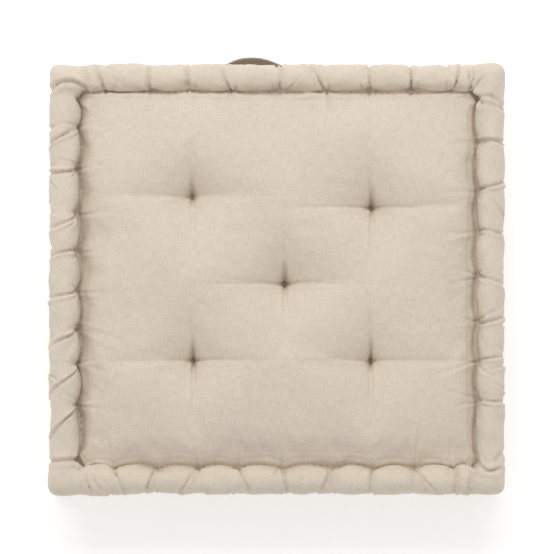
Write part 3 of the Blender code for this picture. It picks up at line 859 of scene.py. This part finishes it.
LINE_BAND = 0.8 * MM  # how near a run the points of its line are
LINE_STEPS = 720  # directions from the middle that a line is looked for in
LINE_GAP = 3 * MM  # least distance between its points


def line_round(cover, run_name, run, offset):
    """Closed line round the finished cover at a run from one groove, moved by an offset."""
    co, rest = coordinates(cover) + offset, kept_values(cover, "rest_place")
    away = np.abs(kept_values(cover, run_name) - run)
    index = np.flatnonzero(away < LINE_BAND)
    angle = np.arctan2((rest[index, 1] - CENTRE_Y) / GROOVE_Y, rest[index, 0] / GROOVE_X)
    bins = np.floor((angle + math.pi) / math.tau * LINE_STEPS).astype(int)
    line = []
    for number in np.unique(bins):
        there = index[bins == number]
        line.append(co[there[np.argmin(away[there])]])
    line = thinned(np.array(line), LINE_GAP)
    return (np.roll(line, 1, 0) + 2 * line + np.roll(line, -1, 0)) / 4


KNOT_X = 133 * MM  # where the back groove's stitching ends in a knot
SIDE_STITCH = 1.3  # length of a stitch beside a roll against one in a groove
EDGE_SPACING, SIDE_SPACING = 1.45, 2.3  # of the stitches, against the length of one in a groove


def make_edge_stitching(settings):
    """Running stitches in both grooves and beside both rolls, and the knot that ends the upper groove's."""
    cover = bpy.data.objects["cushion_cover"]
    thread = thread_material("edge_thread_cotton", settings.colour)
    for level, run_name, upward in (("upper", "round_upper", 1), ("lower", "round_lower", -1)):
        line = line_round(cover, run_name, 0.0, [0, 0, -0.5 * MM * upward])
        stitches = stitch_along(
            f"{level}_edge_stitches", [(line, True)], thread,
            settings.edge_stitch, settings.edge_stitch * EDGE_SPACING, settings.edge_thread,
        )
        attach(stitches, "cushion")
        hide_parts(f"{level}_edge_thread")
        beside = line_round(cover, run_name, ROLL_RUN, 0.3 * MM * normals(cover))
        quilting = stitch_along(
            f"{level}_side_stitches", [(beside, True)], thread,
            settings.edge_stitch * SIDE_STITCH, settings.edge_stitch * SIDE_SPACING, settings.edge_thread,
        )
        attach(quilting, "cushion")
    line = line_round(cover, "round_upper", 0.0, [0, 0, 0.5 * MM])
    aim = np.array([KNOT_X, CENTRE_Y + GROOVE_Y])
    place = line[np.argmin(np.hypot(*(line[:, :2] - aim).T))] + [0, -1.6 * MM, 4.5 * MM]
    turn = np.linspace(0, 2.6 * math.tau, 60)
    loop = np.stack([
        (1.5 + 0.5 * np.cos(1.5 * turn)) * np.cos(turn),
        0.8 * np.sin(1.5 * turn) - 0.4 * np.cos(turn),
        (1.1 + 0.5 * np.cos(1.5 * turn)) * np.sin(turn),
    ], 1) * MM
    tail = np.stack([
        np.linspace(1.2, 4.6, 10),
        np.linspace(0, -1.2, 10),
        0.6 * np.sin(np.linspace(0, 3, 10)) + 0.4,
    ], 1)
    knot = tube("edge_thread_knot", [place + loop, place + tail * MM], settings.edge_thread * 0.42)
    knot.data.materials.append(thread)
    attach(knot, "cushion")


def surface_height(cover, x, y, upward):
    """Height of the cover's outer face near a place in plan."""
    co = coordinates(cover)
    co = co[(co[:, 2] > WALL_Z) == (upward > 0)]
    near = np.argsort(np.hypot(co[:, 0] - x, co[:, 1] - y))[:6]
    return co[near, 2].mean()


def spoke(angle, reach, lift):
    """Points that go out at an angle in plan, at reaches and lifts."""
    return np.stack([reach * math.cos(angle), reach * math.sin(angle), lift], 1)


def make_tufts(settings):
    """The twine that pulls each tuft in: crossed strands, a knot and two cut ends on each face."""
    cover = bpy.data.objects["cushion_cover"]
    twine = thread_material("tuft_twine_cotton", settings.colour)
    radius = settings.tuft_thread / 2
    for number, (name, tuft) in enumerate(TUFTS.items()):
        rng = np.random.default_rng(70 + number)
        lines = []
        for upward in (1, -1):
            height = surface_height(cover, tuft.x, tuft.y, upward)
            base = np.array([tuft.x, tuft.y, height + 0.4 * MM * upward])
            for angle in (rng.uniform(-0.5, 0.5), math.pi / 2 + rng.uniform(-0.5, 0.5), math.pi / 4):
                t = np.linspace(-1, 1, 13)
                lift = (1 - np.abs(t) ** 3) * 0.7 * MM - 1.2 * MM * np.abs(t) ** 4
                lines.append(base + spoke(angle, 3.0 * MM * t, upward * lift))
            turn = np.linspace(0, 1.9 * math.tau, 34)
            coil = np.stack([1.1 * np.cos(turn), 1.1 * np.sin(turn), upward * (1.2 + 0.05 * turn)], 1) * MM
            lines.append(base + coil)
            for angle in (rng.uniform(0, math.tau), rng.uniform(0, math.tau)):
                t = np.linspace(0, 1, 9)
                lift = (1.4 + 1.4 * t) * MM
                lines.append(base + spoke(angle, 1.0 * MM + 2.6 * MM * t, upward * lift))
        piece = tube(f"tuft_twine_{name}", lines, radius)
        piece.data.materials.append(twine)
        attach(piece, "cushion")
        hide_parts(f"tuft_tie_{name}")


# The handle

STRAP_FREE = 100 * MM  # length of strap between its two sewn ends
STRAP_REACH = 15.8 * MM  # how far it stands off the border where it arches most
STRAP_LEAN = 5.5 * MM  # how far that place is from its middle, towards the left end
STRAP_DROOP = math.radians(20)
STRAP_STIFF = 8 * MM  # reach at which it droops fully
STRAP_HALF = (STRAP_HIGH.x - STRAP_LOW.x) / 2
STRAP_HALF_WIDTH = 10 * MM
STRAP_EASE = 20 * MM  # length over which it comes free of a sewn end
STRAP_CUP = 0.9 * MM  # how far its edges curl outward
STRAP_RIPPLE = 0.12 * MM
EDGE_ROW = 0.82  # share of the half width at which the rows along its edges run
STRAP_RINGS = 180  # rings of points along it


def strap_reach(x):
    """How far the strap's centre plane stands off the border at x along it from its middle."""
    share = np.clip(2 * x / STRAP_FREE, -1, 1)
    share = share + 2 * STRAP_LEAN / STRAP_FREE * (1 - share**2)
    return STRAP_REACH * np.cos(math.pi / 2 * np.abs(np.clip(share, -1, 1)) ** 1.15) ** 2


def strap_place(x, out, up):
    """Place of a point of the strap: x along it from its middle, out from its centre plane, up across it."""
    reach = strap_reach(x)
    slope = (strap_reach(x + 0.5 * MM) - strap_reach(x - 0.5 * MM)) / MM
    tilt = np.hypot(1, slope)
    droop = STRAP_DROOP * np.minimum(reach / STRAP_STIFF, 1.0)
    away = reach + out / tilt
    return np.stack([
        HINGE.x + x - out * slope / tilt,
        HINGE.y + away * np.cos(droop) + up * np.sin(droop),
        HINGE.z + up * np.cos(droop) - away * np.sin(droop),
    ], -1)


def strap_section(settings):
    """(out, up) points round the strap: two folded layers, thinner along the stitched edges."""
    half = settings.strap_thickness / 2
    across = np.linspace(-1, 1, 33)
    edge = np.sqrt(np.clip(1 - np.abs(across) ** 14, 0, 1))
    pressed = 0.26 * bump(np.abs(across) - EDGE_ROW, 0.05)
    face = half * edge * (1 - pressed)
    front = np.stack([face, across * STRAP_HALF_WIDTH], 1)
    back = np.stack([-face, across * STRAP_HALF_WIDTH], 1)[::-1]
    return np.concatenate([front, back[1:-1]])


def make_handle(settings):
    """The cotton strap, sewn flat at both ends and arching between them."""
    ring = strap_section(settings)
    out, up = ring.T
    lengths = np.linspace(-STRAP_HALF, STRAP_HALF, STRAP_RINGS)
    points = []
    for x in lengths:
        tip = math.sqrt(max(1 - (abs(x) / STRAP_HALF) ** 60, 0.0))
        free = smooth(np.array((STRAP_FREE / 2 - abs(x)) / STRAP_EASE))
        ripple = STRAP_RIPPLE * math.sin(x / (7 * MM)) * free
        ripple = ripple + 0.10 * MM * free * np.sin(up / (3 * MM) + x / (11 * MM))
        cupped = STRAP_CUP * free * (up / STRAP_HALF_WIDTH) ** 2
        outward, sideways = out * (0.35 + 0.65 * tip) + ripple + cupped, up * (0.985 + 0.015 * tip)
        points.append(strap_place(np.full(len(ring), x), outward, sideways))
    around = len(ring)
    grid = np.arange(STRAP_RINGS * around).reshape(STRAP_RINGS, around)
    following = np.roll(np.arange(around), -1)
    quads = np.stack([grid[:-1], grid[1:], grid[1:][:, following], grid[:-1][:, following]], -1)
    faces = quads.reshape(-1, 4).tolist()
    half = around // 2
    for end, turn in ((grid[0], 1), (grid[-1], -1)):
        for k in range(half):
            a, b = end[k], end[k + 1]
            c, d = end[(around - k - 1) % around], end[(around - k) % around]
            quad = [a, b, c, d][::turn]
            faces.append([v for i, v in enumerate(quad) if v not in quad[:i]])
    mesh = bpy.data.meshes.new("handle_strap")
    mesh.from_pydata(np.concatenate(points).tolist(), [], [[int(v) for v in f] for f in faces])
    mesh.validate()
    layer = mesh.uv_layers.new(name="cloth")
    run = np.concatenate([[0], np.cumsum(np.hypot(*np.diff(ring, axis=0).T))])
    loops = np.empty(len(mesh.loops), np.int32)
    mesh.loops.foreach_get("vertex_index", loops)
    place = np.stack([lengths[loops // around], run[loops % around]], 1)
    layer.uv.foreach_set("vector", place.astype(np.float32).ravel())
    mesh.shade_smooth()
    strap = object_from("handle_strap", mesh)
    face_outward(strap)
    # The strap's colour holds painted shade as well as its own darker tone: it stands in for the shade the
    # strap lies in under the upper roll.
    strap.data.materials.append(
        cloth_material("handle_cotton_webbing", settings.strap_colour_and_shade, settings.strap_pitch, *WEBBING_WEAVE)
    )
    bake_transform(strap)
    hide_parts("handle_loop", "handle_end_left", "handle_end_right")


def face_outward(obj):
    """Turns a closed mesh's faces outward where they point in."""
    mesh = obj.data
    mesh.calc_loop_triangles()
    co = coordinates(obj)
    corners = np.empty(len(mesh.loop_triangles) * 3, np.int32)
    mesh.loop_triangles.foreach_get("vertices", corners)
    a, b, c = (co[corners.reshape(-1, 3)[:, k]] - co.mean(0) for k in range(3))
    if np.einsum("ij,ij->i", a, np.cross(b, c)).sum() < 0:
        mesh.flip_normals()


BOX_HALF = 7 * MM  # half the side of the box sewn at each end
BOX_SPACING, ROW_SPACING = 1.25, 1.3  # of the stitches, against their length


def make_handle_stitching(settings):
    """The boxed crosses that hold the strap's ends, and the rows along its edges."""
    thread = thread_material("handle_thread_cotton", settings.thread_colour)
    out = settings.strap_thickness / 2
    for side, sign in (("left", -1), ("right", 1)):
        middle_x = sign * 0.5 * (STRAP_HALF + STRAP_FREE / 2)
        corners = [(-1, -1), (1, -1), (1, 1), (-1, 1)]
        lines = [([strap_place(middle_x + BOX_HALF * u, out, BOX_HALF * v) for u, v in corners], True)]
        for turn in (1, -1):
            across = [-1 + 2 * share for share in np.linspace(0.06, 0.94, 8)]
            line = [strap_place(middle_x + BOX_HALF * u, out, BOX_HALF * u * turn) for u in across]
            lines.append((line, False))
        stitches = stitch_along(
            f"handle_box_stitches_{side}", lines, thread,
            settings.handle_stitch, settings.handle_stitch * BOX_SPACING, settings.handle_thread,
        )
        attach(stitches, "cushion")
        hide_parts(f"handle_box_stitch_{side}")
    lines = []
    for up in (-EDGE_ROW, EDGE_ROW):
        run = np.linspace(-STRAP_FREE / 2 + 1 * MM, STRAP_FREE / 2 - 1 * MM, 90)
        free = smooth((STRAP_FREE / 2 - np.abs(run)) / STRAP_EASE)
        rise = out * 0.74 + STRAP_RIPPLE * np.sin(run / (7 * MM)) * free + STRAP_CUP * free * up**2
        lines.append((strap_place(run, rise, np.full(len(run), up * STRAP_HALF_WIDTH)), False))
    rows = stitch_along(
        "handle_edge_stitches", lines, thread, settings.handle_stitch, settings.handle_stitch * ROW_SPACING,
        settings.handle_thread * 0.8,
    )
    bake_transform(rows)


# Materials

# How far a weave's threads differ from its colour, as a share of it, and in height
COTTON_WEAVE = (0.18, 0.4 * MM)
WEBBING_WEAVE = (0.12, 0.45 * MM)


def add_node(tree, kind, inputs=None, **values):
    """Adds a node with its settings, and its inputs as links or values."""
    node = tree.nodes.new(kind)
    for name, value in values.items():
        setattr(node, name, value)
    for name, value in (inputs or {}).items():
        if isinstance(value, bpy.types.NodeSocket):
            tree.links.new(value, node.inputs[name])
        else:
            node.inputs[name].default_value = value
    return node


def output_of(tree, output, kind, inputs=None, **values):
    """Adds a node and gives the output that is wanted of it."""
    return add_node(tree, kind, inputs, **values).outputs[output]


def cotton(name):
    """A matt cotton material: its node tree and shader."""
    material = bpy.data.materials.new(name)
    material.use_nodes = True
    shader = material.node_tree.nodes["Principled BSDF"]
    shader.inputs["Roughness"].default_value = 0.92
    shader.inputs["Specular IOR Level"].default_value = 0.18
    shader.inputs["Sheen Weight"].default_value = 0.12
    shader.inputs["Sheen Roughness"].default_value = 0.6
    shader.inputs["Sheen Tint"].default_value = (1.0, 0.96, 0.9, 1.0)
    return material, material.node_tree, shader


def tint(tree, shader, pattern, positions, colours):
    """Colours a cotton between two tones by a pattern."""
    ramp = add_node(tree, "ShaderNodeValToRGB", {"Fac": pattern})
    for stop, position, colour in zip(ramp.color_ramp.elements, positions, colours):
        stop.position = position
        stop.color = (*(min(part, 1) for part in colour), 1)
    tree.links.new(ramp.outputs["Color"], shader.inputs["Base Color"])


def roughen(tree, shader, height, strength, distance):
    """Gives a cotton the fine relief of its threads."""
    relief = add_node(tree, "ShaderNodeBump", {"Height": height, "Strength": strength, "Distance": distance})
    tree.links.new(relief.outputs["Normal"], shader.inputs["Normal"])


def cloth_material(name, colour, thread_pitch, contrast, relief):
    """Plain-woven matt cotton. Threads cross at a pitch in metres, along the cloth's own directions."""
    material, tree, shader = cotton(name)
    place = output_of(tree, "UV", "ShaderNodeTexCoord")

    def noise(across, scale, detail, roughness):
        inputs = {"Vector": across, "Scale": scale, "Detail": detail, "Roughness": roughness}
        return output_of(tree, "Fac", "ShaderNodeTexNoise", inputs)

    def threads(direction):
        inputs = {"Vector": place, "Scale": math.tau / thread_pitch / 20}
        inputs.update({"Distortion": 1.2, "Detail": 1.0, "Detail Scale": 0.6})
        bands = {"wave_type": "BANDS", "bands_direction": direction, "wave_profile": "SIN"}
        return output_of(tree, "Fac", "ShaderNodeTexWave", inputs, **bands)

    def slubs(stretch, shift):
        inputs = {"Vector": place, "Scale": stretch, "Location": (shift, shift, 0.0)}
        return noise(output_of(tree, "Vector", "ShaderNodeMapping", inputs), 1.0, 3.0, 0.6)

    def mixed(a, b, operation):
        return output_of(tree, 0, "ShaderNodeMath", {0: a, 1: b}, operation=operation)

    weave = mixed(threads("X"), threads("Y"), "MULTIPLY")
    fine = mixed(slubs((900, 110, 110), 0.3), slubs((110, 900, 110), 1.7), "ADD")
    patches = mixed(noise(place, 14.0, 4.0, 0.55), 0.3, "MULTIPLY")
    near = mixed(mixed(fine, 0.6, "MULTIPLY"), mixed(weave, 0.3, "MULTIPLY"), "ADD")
    tone = mixed(near, patches, "ADD")
    tones = [[part * (1 + change) for part in colour] for change in (-contrast, contrast)]
    tint(tree, shader, tone, (0.45, 1.0), tones)
    height = mixed(mixed(weave, 0.6, "MULTIPLY"), mixed(fine, 0.6, "MULTIPLY"), "ADD")
    roughen(tree, shader, height, 0.35, relief)
    return material


def thread_material(name, colour):
    """Twisted cotton thread."""
    material, tree, shader = cotton(name)
    place = output_of(tree, "Object", "ShaderNodeTexCoord")
    grain = {"Vector": place, "Scale": 2600.0, "Detail": 2.0, "Roughness": 0.6}
    fibres = output_of(tree, "Fac", "ShaderNodeTexNoise", grain)
    tint(tree, shader, fibres, (0.3, 0.7), [[part * tone for part in colour] for tone in (0.78, 1.12)])
    roughen(tree, shader, fibres, 0.4, 0.2 * MM)
    return material


# Stage


FLOOR_HALF = 6.0
FLOOR_GAP = 0.4 * MM  # how far the floor lies below the cushion
LAMP_PLACE = (-0.2, 1.7, 2.1)
LAMP_SIZE = (2.2, 1.2)


def make_stage(settings):
    """Pale floor, soft light and camera."""
    scene = bpy.context.scene
    corners = np.array([(-1, -1, 0), (1, -1, 0), (1, 1, 0), (-1, 1, 0)])
    floor = mesh_from("floor", corners * FLOOR_HALF - [0, 0, FLOOR_GAP], np.array([(0, 1, 2, 3)]))
    material = bpy.data.materials.new("pale_floor")
    material.use_nodes = True
    shader = material.node_tree.nodes["Principled BSDF"]
    shader.inputs["Base Color"].default_value = (0.92, 0.92, 0.92, 1)
    shader.inputs["Roughness"].default_value = 0.9
    shader.inputs["Specular IOR Level"].default_value = 0.1
    shader.inputs["Emission Color"].default_value = (1, 1, 1, 1)
    shader.inputs["Emission Strength"].default_value = settings.floor_glow
    floor.data.materials.append(material)

    world = bpy.data.worlds.new("soft_surroundings")
    world.use_nodes = True
    world.node_tree.nodes["Background"].inputs["Color"].default_value = (1, 1, 1, 1)
    world.node_tree.nodes["Background"].inputs["Strength"].default_value = settings.surroundings
    scene.world = world

    lamp = bpy.data.lights.new("window_light", "AREA")
    lamp.shape = "RECTANGLE"
    lamp.size, lamp.size_y = LAMP_SIZE
    lamp.energy = settings.lamp_power
    lamp_object = bpy.data.objects.new("window_light", lamp)
    lamp_object.location = LAMP_PLACE
    aim = Vector((0, 0, 0.05)) - lamp_object.location
    lamp_object.rotation_euler = aim.to_track_quat("-Z", "Y").to_euler()
    scene.collection.objects.link(lamp_object)

    camera = bpy.data.cameras.new("camera")
    camera.lens = settings.lens
    camera.sensor_width = 36
    camera.clip_end = 20
    camera_object = bpy.data.objects.new("camera", camera)
    distance = 2 * HALF_X * settings.framing * camera.lens / camera.sensor_width
    aim_at = Vector((0.0, CENTRE_Y + 2 * MM, UPPER_ROLL_Z))
    tilt = settings.camera_tilt
    camera_object.location = aim_at + distance * Vector((0, -math.sin(tilt), math.cos(tilt)))
    camera_object.rotation_euler = (tilt, 0, 0)
    scene.collection.objects.link(camera_object)
    scene.camera = camera_object
    scene.view_settings.view_transform = "Standard"


# Settings that a user would change


def size_setting(name, description, default):
    """A length property in metres."""
    return FloatProperty(
        name=name, description=description, default=default, min=0.0, precision=5, unit="LENGTH"
    )


def colour_setting(name, description, default):
    """A linear colour property."""
    return FloatVectorProperty(
        name=name, description=description, default=default, size=3, min=0.0, max=1.0, subtype="COLOR"
    )


class CoverSettings(bpy.types.PropertyGroup):
    """Sizes and colour of the stuffed cover."""

    cloth_step: size_setting("Cloth step", "Spacing of the cloth's points while it is stuffed", 5 * MM)
    swell: size_setting("Swell", "Furthest that the stuffing moves the cloth", 4 * MM)
    crease_depth: FloatProperty(
        name="Crease depth", description="Depth of all creases against the usual", default=1.0,
        min=0.0, max=2.0, subtype="FACTOR",
    )
    thread_pitch: size_setting("Thread pitch", "Spacing of the woven threads", 0.8 * MM)
    colour: colour_setting("Cotton", "Colour of the cover's cotton", (0.668, 0.583, 0.484))


class StitchSettings(bpy.types.PropertyGroup):
    """Sizes and colour of the edge stitching and the tufts' twine."""

    edge_stitch: size_setting("Edge stitch", "Length of one stitch in the grooves", 4.4 * MM)
    edge_thread: size_setting("Edge thread", "Thickness of the thread in the grooves", 0.95 * MM)
    tuft_thread: size_setting("Tuft twine", "Thickness of the twine at the tufts", 0.9 * MM)
    colour: colour_setting("Thread", "Colour of the thread and twine", (0.50, 0.43, 0.35))


class HandleSettings(bpy.types.PropertyGroup):
    """Sizes and colours of the handle."""

    strap_thickness: size_setting("Strap thickness", "Thickness of the folded strap", 2.2 * MM)
    strap_pitch: size_setting("Strap thread pitch", "Spacing of the strap's woven threads", 1.0 * MM)
    # Darker than the cover's cotton: partly the strap's own tone, partly painted shade for the shade it lies
    # in under the upper roll.
    strap_colour_and_shade: colour_setting("Strap", "Colour of the strap", (0.365, 0.31, 0.25))
    handle_stitch: size_setting("Handle stitch", "Length of one stitch on the strap", 3.0 * MM)
    handle_thread: size_setting("Handle thread", "Thickness of the thread on the strap", 0.95 * MM)
    thread_colour: colour_setting("Handle thread", "Colour of the thread on the strap", (0.60, 0.53, 0.44))


class StageSettings(bpy.types.PropertyGroup):
    """Light, floor and camera."""

    lamp_power: FloatProperty(
        name="Lamp power", description="Power of the window light", default=30.0, min=0.0, unit="POWER"
    )
    surroundings: FloatProperty(
        name="Surroundings", description="Brightness of the even light all round", default=0.674, min=0.0
    )
    floor_glow: FloatProperty(
        name="Floor glow", description="Light that the floor gives off", default=0.30, min=0.0
    )
    lens: FloatProperty(
        name="Lens", description="Focal length of the camera", default=300.0, min=20.0, unit="CAMERA"
    )
    framing: FloatProperty(
        name="Framing", description="Width of the view against the cushion's", default=1.22, min=1.0
    )
    camera_tilt: FloatProperty(
        name="Tilt", description="How far the camera leans from straight down",
        default=math.radians(0.9), subtype="ANGLE",
    )


# Operators and panel


class CUSHION_OT_cover(bpy.types.Operator):
    """Make the stuffed cover with its rolls, grooves and creases"""

    bl_idname = "cushion.make_cover"
    bl_label = "Cover"

    def execute(self, context):
        make_cover(context.scene.cushion_cover)
        return {"FINISHED"}


class CUSHION_OT_edge_stitching(bpy.types.Operator):
    """Sew the running stitches in both grooves"""

    bl_idname = "cushion.make_edge_stitching"
    bl_label = "Edge Stitching"

    def execute(self, context):
        make_edge_stitching(context.scene.cushion_stitches)
        return {"FINISHED"}


class CUSHION_OT_tufts(bpy.types.Operator):
    """Tie the twine at the five tufts"""

    bl_idname = "cushion.make_tufts"
    bl_label = "Tufts"

    def execute(self, context):
        make_tufts(context.scene.cushion_stitches)
        return {"FINISHED"}


class CUSHION_OT_handle(bpy.types.Operator):
    """Make the strap handle on the back border"""

    bl_idname = "cushion.make_handle"
    bl_label = "Handle"

    def execute(self, context):
        make_handle(context.scene.cushion_handle)
        return {"FINISHED"}


class CUSHION_OT_handle_stitching(bpy.types.Operator):
    """Sew the boxed crosses and edge rows of the handle"""

    bl_idname = "cushion.make_handle_stitching"
    bl_label = "Handle Stitching"

    def execute(self, context):
        make_handle_stitching(context.scene.cushion_handle)
        return {"FINISHED"}


class CUSHION_OT_stage(bpy.types.Operator):
    """Set up the floor, light and camera"""

    bl_idname = "cushion.make_stage"
    bl_label = "Stage"

    def execute(self, context):
        make_stage(context.scene.cushion_stage)
        return {"FINISHED"}


OPERATORS = (
    CUSHION_OT_cover,
    CUSHION_OT_edge_stitching,
    CUSHION_OT_tufts,
    CUSHION_OT_handle,
    CUSHION_OT_handle_stitching,
    CUSHION_OT_stage,
)
SETTINGS = {
    "cushion_cover": CoverSettings,
    "cushion_stitches": StitchSettings,
    "cushion_handle": HandleSettings,
    "cushion_stage": StageSettings,
}


class CUSHION_PT_sidebar(bpy.types.Panel):
    """Settings and steps of the cushion"""

    bl_idname = "CUSHION_PT_sidebar"
    bl_label = "Tufted Floor Cushion"
    bl_space_type = "VIEW_3D"
    bl_region_type = "UI"
    bl_category = "Cushion"

    def draw(self, context):
        for name, group in SETTINGS.items():
            box = self.layout.box()
            for setting in group.__annotations__:
                box.prop(getattr(context.scene, name), setting)
        for operator in OPERATORS:
            self.layout.operator(operator.bl_idname)


def register():
    for group in SETTINGS.values():
        bpy.utils.register_class(group)
    for operator in OPERATORS:
        bpy.utils.register_class(operator)
    bpy.utils.register_class(CUSHION_PT_sidebar)
    for name, group in SETTINGS.items():
        setattr(bpy.types.Scene, name, PointerProperty(type=group))


def unregister():
    for name in SETTINGS:
        delattr(bpy.types.Scene, name)
    bpy.utils.unregister_class(CUSHION_PT_sidebar)
    for operator in reversed(OPERATORS):
        bpy.utils.unregister_class(operator)
    for group in reversed(SETTINGS.values()):
        bpy.utils.unregister_class(group)


def main():
    register()
    bpy.ops.cushion.make_cover()
    bpy.ops.cushion.make_edge_stitching()
    bpy.ops.cushion.make_tufts()
    bpy.ops.cushion.make_handle()
    bpy.ops.cushion.make_handle_stitching()
    bpy.ops.cushion.make_stage()


if __name__ == "__main__":
    main()
